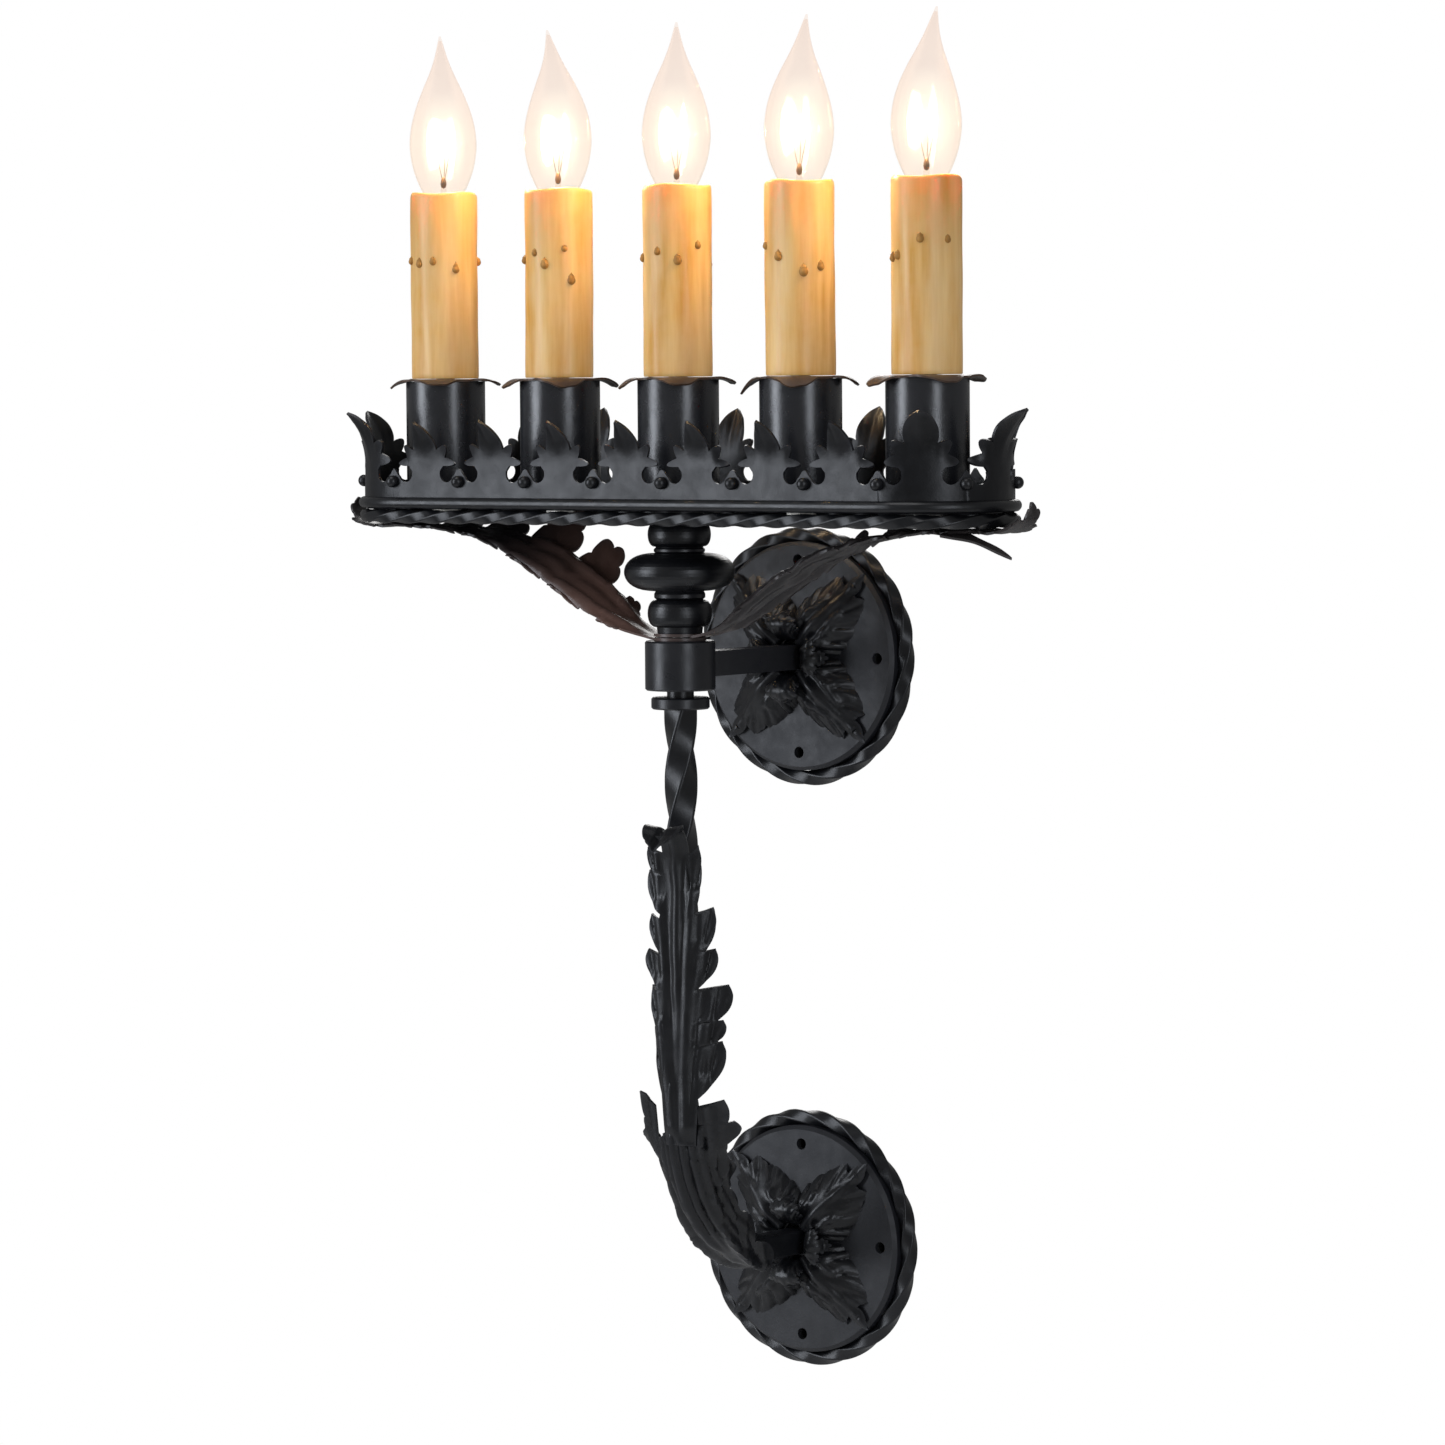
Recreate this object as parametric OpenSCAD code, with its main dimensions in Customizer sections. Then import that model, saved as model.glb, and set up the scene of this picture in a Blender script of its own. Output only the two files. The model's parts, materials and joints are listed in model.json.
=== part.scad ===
// Five-light wrought iron wall sconce: two wall plates, a square arm and a twisted post carry a long
// tray with a cut leaf crown, and five electric candles stand in the tray.
// The origin is the centre of the upper wall plate, on the wall. +Y points into the wall, +Z is up,
// and X runs along the tray.

/* [Layout] */
// Distance from the wall to the post and the candle line
stand_off = 114; // [105:1:125]
// Height from the lower plate's centre to the upper plate's centre
plate_spacing = 305; // [290:5:330]
// Distance between neighbouring candles
candle_pitch = 76; // [72:1:80]

/* [Wall plates] */
// Diameter of a dished plate, without its rope rim
plate_d = 119; // [115:1:122]
// Depth of the dish, from the wall to the front face
plate_depth = 13; // [11:0.5:15]
// Sheet thickness of the plates
plate_t = 2; // [1.5:0.1:2.5]
// Diameter of the circle that the four wall screws lie on
hole_circle_d = 100; // [96:1:102]
// Diameter of each wall screw hole
hole_d = 6; // [4:0.5:7]
// Side of the square bar that is twisted into a plate's rope rim
rim_bar = 6.2; // [5:0.1:7]

/* [Arm, hub and column] */
// Side of the square arm tube and of the twisted post
bar_w = 12.7; // [11:0.1:13]
// Diameter of the hub
hub_d = 35.5; // [34:0.5:38]
// Height of the hub
hub_h = 25; // [22:1:26]
// Diameter of the saucer on the column
saucer_d = 56; // [50:1:60]
// Diameter of the two beads on the column
bead_d = 32.5; // [30:0.5:35]
// Diameter of the flange at the top of the post
flange_d = 29.5; // [27:0.5:32]

/* [Tray] */
// Outer radius of the crown band's round ends
band_r = 42.5; // [41:0.5:44]
// Sheet thickness of the crown band and the tray floor
band_t = 1.6; // [1.2:0.1:2]
// Height of the moulding's top edge above the arm
moulding_z = 84.5; // [84:0.5:86]
// Height of the moulding
moulding_h = 6; // [5:0.5:7]
// Side of the square bar that is twisted into the tray rope
rope_bar = 5.6; // [4:0.1:6]
// How far the merlons' tips flare out
crown_flare = 11; // [8:0.5:12]
// Number of leaf merlons on each straight side
side_merlons = 7; // [6:1:8]
// Number of leaf merlons on each round end
end_merlons = 3; // [2:1:3]

/* [Candles] */
// Diameter of a cup
cup_d = 41; // [39:0.5:43]
// Height of a cup's rim above the arm
cup_top_z = 143.6; // [140:0.5:148]
// Largest diameter of a bobeche
bobeche_d = 58; // [50:1:62]
// Diameter of a candle cover
cover_d = 35; // [33:0.5:37]
// Length of a candle cover
cover_h = 96; // [94:1:100]
// Largest diameter of a bulb
bulb_d = 34.4; // [30:0.2:36]

/* [Hidden] */
$fn = 96;
post_y = -stand_off;
lower_z = -plate_spacing;
half_candles = 2;
tray_half = half_candles * candle_pitch;
tray_floor_z = moulding_z - moulding_h + 0.3;
rope_r = band_r - 0.8;
rope_z = moulding_z - moulding_h - rope_bar / sqrt(2) - 0.05;
merlon_pitch = candle_pitch * 4 / side_merlons;
end_step = 180 / end_merlons;
bead_r = 3.1;
bead_z = moulding_z + 8;
slot_r = 4.4;
stem_half = 9.2;
prong_half = 3.2;
// Lobed edge of a merlon, measured from the middle of the cut and from the slot's centre
merlon_edge = [
    [10.5, 4.5], [6.5, 9], [4, 14], [3.2, 17.5], [7.2, 16.5], [7, 20], [8.8, 22.5], [11.8, 19.5], [12, 24],
    [14, 28], [18, 31], [21.8, 32.6], [21.8, 60]
];
pipe_r = 4.85;
pipe_bore = 3.4;
nut_h = 4;
nut_r = 8;
wire_r = 1.3;
wire_y = 10.5;
wire_z = tray_floor_z + 9;
wire_hole_r = 2.6;
arm_reach = 5;
collar_t = 1.5;
collar_r = 12;
collar_gap = 0.6;
collar_z = hub_h / 2 + 0.1;
bobeche_t = 1.2;
bobeche_z = cup_top_z + 0.1;
cover_z = bobeche_z + bobeche_t + 0.2;
cover_t = 1.9;
cover_top = cover_z + cover_h;
socket_top = cover_top - 9;
socket_h = 43;
socket_r = 11;
socket_bore = 6.3;
bulb_seat_depth = 20;
bulb_base_r = 6;
bulb_base_top = socket_top + 1;
bulb_glass_t = 0.8;
bend_r = 76;
bend_top_z = lower_z + bend_r;
post_top_z = -hub_h / 2 - 9.5;
twist_step = 36.5;
rope_twist_step = 20.6;
candles = [for (i = [-half_candles : half_candles]) i * candle_pitch];

// ---- Curves and meshes -------------------------------------------------

// Point at t (0 to 1) on a smooth curve through the given points
function curve_at(pts, t) =
    let (
        n = len(pts) - 1,
        s = min(t * n, n - 0.000001),
        i = floor(s),
        u = s - i,
        a = pts[max(i - 1, 0)],
        b = pts[i],
        c = pts[i + 1],
        d = pts[min(i + 2, n)]
    )
    0.5 * (2 * b + (c - a) * u + (2 * a - 5 * b + 4 * c - d) * u * u + (3 * b - a - 3 * c + d) * u * u * u);

function unit(v) = v / norm(v);

// Surface normal of a point grid at row i and column j
function grid_normal(grid, i, j) =
    let (
        nu = len(grid) - 1,
        nv = len(grid[0]) - 1,
        along = grid[min(i + 1, nu)][j] - grid[max(i - 1, 0)][j],
        across = grid[i][min(j + 1, nv)] - grid[i][max(j - 1, 0)]
    )
    unit(cross(along, across));

// A closed sheet of even thickness over a grid of points
module sheet(grid, thick) {
    nu = len(grid) - 1;
    nv = len(grid[0]) - 1;
    row = nv + 1;
    count = (nu + 1) * row;
    front = [for (i = [0 : nu]) for (j = [0 : nv]) grid[i][j] + grid_normal(grid, i, j) * thick / 2];
    back = [for (i = [0 : nu]) for (j = [0 : nv]) grid[i][j] - grid_normal(grid, i, j) * thick / 2];
    face_tris = [for (i = [0 : nu - 1]) for (j = [0 : nv - 1]) let (p = i * row + j)
        each [[p, p + 1, p + row], [p + 1, p + row + 1, p + row]]];
    back_tris = [for (f = face_tris) [f[0] + count, f[2] + count, f[1] + count]];
    rim = concat(
        [for (j = [0 : nv - 1]) j],
        [for (i = [0 : nu - 1]) i * row + nv],
        [for (j = [nv : -1 : 1]) nu * row + j],
        [for (i = [nu : -1 : 1]) i * row]
    );
    edge_tris = [for (k = [0 : len(rim) - 1]) let (a = rim[k], b = rim[(k + 1) % len(rim)])
        each [[a, a + count, b], [b, a + count, b + count]]];
    polyhedron(concat(front, back), concat(face_tris, back_tris, edge_tris), convexity = 8);
}

// A square bar swept along a list of points, turning as it goes: sides are the local X and Y directions
// of each section, and a closed bar has no ends
module swept_bar(points, sides, turns, width, closed) {
    n = len(points);
    corner = width / sqrt(2);
    rings = [for (i = [0 : n - 1]) for (k = [0 : 3]) let (a = turns[i] + 45 + 90 * k)
        points[i] + corner * (cos(a) * sides[i][0] + sin(a) * sides[i][1])];
    last = closed ? n - 1 : n - 2;
    side_tris = [for (i = [0 : last]) for (k = [0 : 3])
        let (p = i * 4 + k, q = i * 4 + (k + 1) % 4)
        let (r = ((i + 1) % n) * 4 + k, s = ((i + 1) % n) * 4 + (k + 1) % 4)
        each [[p, q, r], [q, s, r]]];
    end_ring = 4 * n - 4;
    end_tris = closed ? [] : [[0, 2, 1], [0, 3, 2], [end_ring, end_ring + 1, end_ring + 2],
        [end_ring, end_ring + 2, end_ring + 3]];
    polyhedron(rings, [for (f = concat(side_tris, end_tris)) [f[0], f[2], f[1]]],
        convexity = 8);
}

// Scalloped edge of a leaf: 1 at the middle of a lobe, 1 - depth in the cut between two lobes
function scallop(u, lobes, depth) = 1 - depth * (1 - pow(abs(sin(180 * lobes * u)), 0.55));

// Half width of a leaf at u (0 at its base, 1 at its tip)
function leaf_half(u, widths, lobes) =
    curve_at(widths, u) * (u > 0.97 ? 1 : scallop(u, lobes, 0.3));

// ---- Tray outline ------------------------------------------------------

module stadium(r) {
    translate([-tray_half, -r]) square([2 * tray_half, 2 * r]);
    for (s = [-1, 1]) translate([s * tray_half, 0]) circle(r);
}

// Point and outward direction at distance d along the stadium of radius r
function stadium_length(r) = 4 * tray_half + 2 * PI * r;
function stadium_at(d, r) =
    let (
        side = 2 * tray_half,
        arc = PI * r,
        a = d < side ? 0 : (d - side) / arc * 180,
        b = (d - 2 * side - arc) / arc * 180
    )
    d < side ? [[d - tray_half, -r], [0, -1]] :
    d < side + arc ? [[tray_half + r * sin(a), -r * cos(a)], [sin(a), -cos(a)]] :
    d < 2 * side + arc ? [[tray_half - (d - side - arc), r], [0, 1]] :
    [[-tray_half - r * sin(b), r * cos(b)], [-sin(b), cos(b)]];

// Places children at the middle of each slot between two merlons, facing out along -Y
module at_beads() {
    for (side = [0, 180]) rotate([0, 0, side]) {
        for (i = [0 : side_merlons])
            translate([(i - side_merlons / 2) * merlon_pitch, -band_r, 0]) children();
        for (i = [1 : end_merlons - 1]) translate([tray_half, 0, 0]) rotate([0, 0, i * end_step])
            translate([0, -band_r, 0]) children();
    }
}

// ---- Wall plates -------------------------------------------------------

module wall_plate(z, centre_r) {
    difference() {
        translate([0, 0, z]) rotate([90, 0, 0]) rotate_extrude() polygon([
            [plate_d / 2, 0], [plate_d / 2, plate_depth - 2], [plate_d / 2 - 2, plate_depth],
            [centre_r, plate_depth], [centre_r, plate_depth - plate_t],
            [plate_d / 2 - plate_t - 0.4, plate_depth - plate_t], [plate_d / 2 - plate_t, 0]
        ]);
        for (a = [0 : 90 : 270]) translate([hole_circle_d / 2 * cos(a), 0, z + hole_circle_d / 2 * sin(a)])
            rotate([90, 0, 0]) cylinder(d = hole_d, h = 2 * plate_depth);
    }
}

module rope_rim(z) {
    r = plate_d / 2 + rim_bar / sqrt(2) + 0.05;
    facets = 20;
    n = facets * 5;
    y = -rim_bar / sqrt(2) - 0.05;
    points = [for (i = [0 : n - 1]) let (a = 360 * i / n) [r * cos(a), y, z + r * sin(a)]];
    sides = [for (i = [0 : n - 1]) let (a = 360 * i / n) [[cos(a), 0, sin(a)], [0, 1, 0]]];
    turns = [for (i = [0 : n - 1]) 90 * facets * i / n];
    swept_bar(points, sides, turns, rim_bar, true);
}

// Four leaves in an X on the plate, round a flared collar that the bar goes through
module rosette(z) {
    leaf_start = 14;
    leaf_end = plate_d / 2 - 1.5;
    heights = [8, 10, 7.5, 4.5, 2.5, 1.1];
    widths = [9, 12, 14, 13, 9, 1.2];
    nu = 15;
    nv = 4;
    color("#26272b") translate([0, -plate_depth, z]) {
        rotate([90, 0, 0]) rotate_extrude() polygon([
            [9.2, 0.1], [13.2, 0.1], [11.6, 7], [12.6, 13], [17, 18], [16.2, 19.2], [11, 14.5], [9.4, 9]
        ]);
        for (a = [45 : 90 : 315]) rotate([0, a, 0]) sheet([for (i = [0 : nu]) [for (j = [0 : nv])
            let (
                u = i / nu,
                v = 2 * j / nv - 1,
                half = leaf_half(u, widths, 3)
            )
            let (along = leaf_start + (leaf_end - leaf_start) * u)
            [along, -curve_at(heights, u) + 2 * v * v * (1 - u), half * v]]],
            1.2);
    }
}

module upper_backplate() { color("#2c2d31") wall_plate(0, pipe_r + 0.2); }
module lower_backplate() { color("#2c2d31") wall_plate(lower_z, pipe_r + 0.2); }
module upper_rope_rim() { color("#25262a") rope_rim(0); }
module lower_rope_rim() { color("#25262a") rope_rim(lower_z); }
module upper_rosette() { rosette(0); }
module lower_rosette() { rosette(lower_z); }

// ---- Arm, hub and column -----------------------------------------------

arm_start = post_y + hub_d / 2 - arm_reach;

module arm_tube() {
    inner = bar_w - 3;
    color("#2a2b2f") difference() {
        translate([-bar_w / 2, arm_start, -bar_w / 2]) cube([bar_w, -plate_depth - arm_start, bar_w]);
        translate([-inner / 2, arm_start - 1, -inner / 2]) cube([inner, stand_off, inner]);
    }
}

module pipe(h) {
    difference() {
        cylinder(r = pipe_r, h = h);
        translate([0, 0, -1]) cylinder(r = pipe_bore, h = h + 2);
    }
}

// Threaded pipe that clamps the arm tube to the upper plate
module arm_nipple() {
    color("#8d8a80") translate([0, -plate_depth - 14, 0]) rotate([-90, 0, 0]) difference() {
        cylinder(r = pipe_r - 0.05, h = plate_depth + 12);
        translate([0, 0, -1]) cylinder(r = pipe_bore, h = plate_depth + 14);
    }
}

module hub() {
    pocket = bar_w + 0.2;
    color("#303136") translate([0, post_y, 0]) difference() {
        translate([0, 0, -hub_h / 2]) rotate_extrude() polygon([
            [pipe_r + 0.1, 0], [hub_d / 2 - 0.8, 0], [hub_d / 2, 0.8], [hub_d / 2, hub_h - 0.8],
            [hub_d / 2 - 0.8, hub_h], [pipe_r + 0.1, hub_h]
        ]);
        translate([-pocket / 2, hub_d / 2 - arm_reach, -pocket / 2]) cube([pocket, hub_d, pocket]);
        rotate([0, -90, 0]) cylinder(r = 2.05, h = hub_d);
        rotate([-90, 0, 0]) cylinder(r = wire_hole_r, h = hub_d / 2);
    }
}

module hub_set_screw() {
    color("#3a3a3c") translate([-pipe_r - 0.2, post_y, 0]) rotate([0, -90, 0]) difference() {
        cylinder(r = 2, h = hub_d / 2 - pipe_r - 0.6);
        translate([0, 0, hub_d / 2 - pipe_r - 3.5]) cylinder(r = 1.15, h = 4, $fn = 6);
    }
}

column_nipple_z = post_top_z + 3;

module column_nipple() {
    color("#8d8a80") translate([0, post_y, column_nipple_z]) pipe(tray_floor_z + 9 - column_nipple_z);
}

// Turned spacers on the column, each a profile of radius and height
module turned(profile, z) {
    translate([0, post_y, z]) rotate_extrude() polygon(concat(
        [[pipe_r + 0.1, 0]], profile, [[pipe_r + 0.1, profile[len(profile) - 1][1]]]
    ));
}

// Rounded bulge between two heights, as profile points
function bulge(r_in, r_out, z0, z1, n) = [for (i = [0 : n]) let (a = 180 * i / n)
    [r_in + (r_out - r_in) * pow(sin(a), 0.8), (z0 + z1) / 2 - (z1 - z0) / 2 * cos(a)]];

lower_bead_z = collar_z + 2 * collar_t + collar_gap + 0.15;
neck_r = 12.3;
lower_bead_h = 37.6 - lower_bead_z;
saucer_h = 19;
saucer_z = lower_bead_z + lower_bead_h;
upper_bead_z = saucer_z + saucer_h;

module column_lower_bead() {
    color("#26272b") turned(concat(
        [[neck_r - 1, 0]], bulge(neck_r - 0.6, bead_d / 2, 3, lower_bead_h - 4.5, 12),
        [[neck_r + 0.6, lower_bead_h - 3.4], [neck_r + 0.6, lower_bead_h - 1.6], [neck_r - 0.2, lower_bead_h]]
    ), lower_bead_z);
}

module column_saucer() {
    color("#26272b") turned(bulge(neck_r, saucer_d / 2, 0, saucer_h, 18), saucer_z);
}

module column_upper_bead() {
    h = tray_floor_z - 0.1 - upper_bead_z;
    color("#26272b") turned(concat(
        [[neck_r - 0.2, 0], [neck_r + 0.6, 0.8], [neck_r + 0.6, 2], [neck_r - 0.4, 2.8]],
        bulge(neck_r - 0.2, bead_d / 2 - 0.3, 3.2, 15.5, 12), [[neck_r, h]]
    ), upper_bead_z);
}

// An acanthus arm that sweeps from the column out to the end of the tray
module leaf_arm(dir, z) {
    under_rope = rope_z - rope_bar / sqrt(2) - collar_t / 2 - 0.2;
    path = [
        [collar_r - 1, z + collar_t / 2], [26, 17.5], [44, 29], [64, 42], [86, 54],
        [112, 63.5], [142, under_rope - 1],
        [174, under_rope], [198, under_rope], [208, under_rope + 4], [210.4, under_rope + 10]
    ];
    widths = [8, 14, 19, 21, 22, 22, 20, 18, 15, 10, 2];
    nu = 33;
    nv = 4;
    color("#2b2a2b") translate([0, post_y, z]) {
        difference() {
            cylinder(r = collar_r, h = collar_t);
            translate([0, 0, -1]) cylinder(r = pipe_r + 0.1, h = collar_t + 2);
        }
    }
    color("#2b2a2b") translate([0, post_y, 0]) sheet([for (i = [0 : nu]) [for (j = [0 : nv])
        let (
            u = i / nu,
            v = 2 * j / nv - 1,
            p = curve_at(path, u),
            half = leaf_half(u, widths, 6),
            lift = 6 * v * v * sin(180 * min(u * 1.6, 1))
        )
        [dir * p[0], dir * half * v, p[1] + lift]]], collar_t);
}

module left_leaf_arm() { leaf_arm(-1, collar_z); }
module right_leaf_arm() { leaf_arm(1, collar_z + collar_t + collar_gap); }

// ---- Post --------------------------------------------------------------

// Flange and neck between the hub and the twisted post
module post_flange() {
    neck_h = -hub_h / 2 - 0.1 - post_top_z - 6;
    color("#2a2b2f") translate([0, post_y, post_top_z]) difference() {
        rotate_extrude() polygon([
            [0, 0], [flange_d / 2 - 0.8, 0], [flange_d / 2, 0.8], [flange_d / 2, 5.2],
            [flange_d / 2 - 0.8, 6], [6.8, 6], [6.8, 6 + neck_h], [0, 6 + neck_h]
        ]);
        translate([0, 0, 2.8]) cylinder(r = pipe_r + 0.1, h = 10);
    }
}

// Square bar, twisted down to the bend, then plain round the bend to the lower plate
module twisted_post() {
    straight = post_top_z - 0.1 - bend_top_z;
    n_straight = round(straight / 3.6);
    n_bend = 18;
    end_run = stand_off - plate_depth - bend_r;
    total_turn = 90 * round(straight / twist_step);
    points = concat(
        [for (i = [0 : n_straight]) [0, post_y, post_top_z - 0.1 - straight * i / n_straight]],
        [for (i = [1 : n_bend]) let (a = 90 * i / n_bend)
            [0, post_y + bend_r * (1 - cos(a)), bend_top_z - bend_r * sin(a)]],
        [[0, post_y + bend_r + end_run - 0.1, lower_z]]
    );
    sides = concat(
        [for (i = [0 : n_straight]) [[1, 0, 0], [0, 1, 0]]],
        [for (i = [1 : n_bend]) let (a = 90 * i / n_bend) [[1, 0, 0], [0, cos(a), sin(a)]]],
        [[[1, 0, 0], [0, 0, 1]]]
    );
    turns = concat(
        [for (i = [0 : n_straight]) -total_turn * i / n_straight],
        [for (i = [0 : n_bend]) -total_turn]
    );
    color("#2c2d31") swept_bar(points, sides, turns, bar_w, false);
}

// Tall leaf on the front of the post, its tip curled forward
module post_leaf() {
    path = [
        [-11.2, -229], [-11.2, -212], [-12, -192], [-12.5, -170], [-12.5, -148], [-12.5, -126], [-12.5, -106],
        [-14, -92], [-20, -82], [-29, -78.5], [-37, -83]
    ];
    widths = [9, 14, 20, 23, 23, 22, 20, 17, 14, 9, 2];
    nu = 33;
    nv = 4;
    color("#2c2d31") translate([0, post_y, 0]) sheet([for (i = [0 : nu]) [for (j = [0 : nv])
        let (
            u = i / nu,
            v = 2 * j / nv - 1,
            p = curve_at(path, u),
            half = leaf_half(u, widths, 5)
        )
        [half * v, p[0] + 7 * v * v * sin(180 * min(1, u * 1.15 + 0.1)), p[1]]]], 1.4);
}

// Leaf that wraps the outside of the bend, its tips standing off the post
module bend_leaf() {
    nu = 26;
    nv = 6;
    reach = [10.8, 11, 11.5, 12, 13, 15, 19, 25];
    wraps = [40, 62, 74, 78, 78, 70, 55, 12];
    color("#2c2d31") translate([0, post_y, 0]) sheet([for (i = [0 : nu]) [for (j = [0 : nv])
        let (
            u = i / nu,
            v = 2 * j / nv - 1,
            a = 78 - 92 * u,
            r = curve_at(reach, u),
            wrap = curve_at(wraps, u) * v * scallop(u, 4, 0.2),
            centre = [a > 0 ? bend_r * (1 - cos(a)) : 0, bend_top_z - bend_r * sin(a)],
            out = a > 0 ? [-cos(a), -sin(a)] : [-1, 0]
        )
        let (from = r * cos(wrap))
        [r * 1.25 * sin(wrap), centre[0] + out[0] * from, centre[1] + out[1] * from]]], 1.4);
}

// ---- Tray --------------------------------------------------------------

module tray_floor() {
    color("#242528") translate([0, post_y, tray_floor_z]) difference() {
        linear_extrude(band_t) stadium(band_r - band_t - 0.1);
        for (x = candles) translate([x, 0, -1]) cylinder(r = pipe_r + 0.1, h = band_t + 2);
    }
}

// Outline of the right half of the cut between two merlons, from the prong's side round a slot with a
// round bottom, up the lobed edge of the next merlon and out above its tip
function cut_half() =
    let (
        slot_x = merlon_pitch / 2 - stem_half - slot_r,
        slot_z = bead_z + 3.5
    )
    concat(
        [[prong_half, bead_z + 1.5], [prong_half, slot_z]],
        [for (a = [-150 : 30 : 0]) [slot_x + slot_r * cos(a), slot_z + slot_r * sin(a)]],
        [for (p = merlon_edge) [p[0], slot_z + p[1]]]
    );

module merlon_cut() {
    half = cut_half();
    n = len(half);
    rotate([90, 0, 0]) translate([0, 0, -8]) linear_extrude(8 + crown_flare + 4) polygon(concat(
        half, [for (i = [n - 1 : -1 : 0]) [-half[i][0], half[i][1]]]
    ));
}

// Section of the band: upright at the foot, its top flared out
module band_profile() {
    low = moulding_z - moulding_h;
    heights = [low, bead_z + 9, bead_z + 17, bead_z + 25, bead_z + 32, bead_z + 36];
    out = [0, 0, 1, 3.5, 7.5, crown_flare];
    n = len(heights) - 1;
    polygon(concat(
        [for (i = [0 : n]) [band_r + out[i], heights[i]]],
        [for (i = [n : -1 : 0]) [band_r - band_t + out[i], heights[i]]]
    ));
}

module crown_band() {
    color("#2a2b2f") translate([0, post_y, 0]) difference() {
        for (s = [0, 180]) rotate([0, 0, s]) {
            translate([-tray_half, 0, 0]) rotate([90, 0, 90]) linear_extrude(2 * tray_half)
                mirror([1, 0]) band_profile();
            translate([tray_half, 0, 0]) rotate([0, 0, -90]) rotate_extrude(angle = 180) band_profile();
        }
        at_beads() merlon_cut();
    }
}

module crown_beads() {
    color("#2e2f33") translate([0, post_y, 0]) at_beads() translate([0, 0, bead_z]) difference() {
        translate([0, -1, 0]) sphere(bead_r, $fn = 32);
        translate([-10, -0.02, -10]) cube(20);
    }
}

module tray_moulding() {
    low = moulding_z - moulding_h;
    color("#303136") translate([0, post_y, low]) for (s = [0, 180]) rotate([0, 0, s]) {
        translate([-tray_half, 0, 0]) rotate([90, 0, 90]) linear_extrude(2 * tray_half) moulding_profile();
        translate([tray_half, 0, 0]) rotate([0, 0, -90])
            rotate_extrude(angle = 180) mirror([1, 0]) moulding_profile();
    }
}

// Half-round section of the moulding, against the band's outer face
module moulding_profile() {
    translate([-band_r - 0.05, 0]) intersection() {
        translate([0, moulding_h / 2]) circle(moulding_h / 2, $fn = 48);
        translate([-moulding_h, 0]) square([moulding_h, moulding_h]);
    }
}

module tray_rope() {
    length = stadium_length(rope_r);
    facets = 4 * round(length / rope_twist_step / 4);
    n = facets * 5;
    at = [for (i = [0 : n - 1]) stadium_at(length * i / n, rope_r)];
    points = [for (p = at) [p[0][0], p[0][1], 0]];
    sides = [for (p = at) [[p[1][0], p[1][1], 0], [0, 0, 1]]];
    turns = [for (i = [0 : n - 1]) 90 * facets * i / n];
    color("#25262a") translate([0, post_y, rope_z]) swept_bar(points, sides, turns, rope_bar, true);
}

// ---- Candles -----------------------------------------------------------

module cup(x) {
    low = tray_floor_z + band_t + 0.1;
    r = cup_d / 2;
    color("#2a2b2f") translate([x, post_y, 0]) difference() {
        translate([0, 0, low]) rotate_extrude() polygon([
            [pipe_r + 0.1, 0], [r - 1, 0], [r, 1], [r, cup_top_z - low], [r - 1.5, cup_top_z - low],
            [r - 1.5, 1.5], [pipe_r + 0.1, 1.5]
        ]);
        translate([-cup_d, wire_y, wire_z]) rotate([0, 90, 0]) cylinder(r = wire_hole_r, h = 2 * cup_d);
    }
}

// Thin drip plate with four soft lobes
module bobeche(x) {
    r = bobeche_d / 2;
    color("#4a3d33") translate([x, post_y, bobeche_z]) difference() {
        linear_extrude(bobeche_t) polygon([for (i = [0 : 59]) let (a = 6 * i)
            (r - 2.5 + 2.5 * cos(4 * a)) * [cos(a), sin(a)]]);
        translate([0, 0, -1]) cylinder(r = pipe_r + 0.1, h = 4);
    }
}

module socket(x) {
    color("#1f1f22") translate([x, post_y, socket_top - socket_h]) rotate_extrude() polygon([
        [pipe_r + 0.1, 0], [socket_r - 1, 0], [socket_r, 1],
        [socket_r, socket_h - 1], [socket_r - 1, socket_h],
        [socket_bore, socket_h], [socket_bore, socket_h - bulb_seat_depth - 0.3],
        [2.2, socket_h - bulb_seat_depth - 0.3],
        [2.2, 9], [pipe_r + 0.1, 9]
    ]);
}

module candle_cover(x) {
    r = cover_d / 2;
    color("#d9a95c") translate([x, post_y, cover_z]) rotate_extrude() polygon([
        [r - cover_t, 0], [r, 0], [r, cover_h - 1.2], [r - 0.5, cover_h - 0.3], [r - 1, cover_h],
        [r - 1.6, cover_h - 0.2], [r - cover_t, cover_h - 0.8]
    ]);
}

// Screw base of a bulb, with rolled thread ridges and a solder button
module bulb_base(x) {
    low = socket_top - bulb_seat_depth + 0.2;
    h = bulb_base_top - low;
    ridges = 5;
    pitch = 2.54;
    color("#b8923f") translate([x, post_y, low]) rotate_extrude() polygon(concat(
        [[0, 0], [2.4, 0], [2.8, 1.2], [4.4, 2.2]],
        [for (k = [0 : ridges - 1])
            each [[bulb_base_r - 0.6, 3.2 + k * pitch], [bulb_base_r, 3.2 + (k + 0.5) * pitch]]],
        [[bulb_base_r - 0.6, 3.2 + ridges * pitch], [bulb_base_r - 0.2, h], [0, h]]
    ));
}

// Flame shaped glass envelope: radius as a share of the bulb's radius, at heights above the base
function flame_outline(inset) =
    let (
        r = bulb_d / 2,
        shape = [
            [0.38, 0], [0.5, 4], [0.68, 9], [0.86, 17], [0.97, 26], [1, 34], [0.94, 43], [0.8, 52],
            [0.6, 61], [0.4, 69], [0.24, 76], [0.13, 82], [0.06, 87]
        ]
    )
    [for (i = [0 : 24]) let (p = curve_at(shape, i / 24)) [max(p[0] * r - inset, 0.3), p[1]]];

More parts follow.
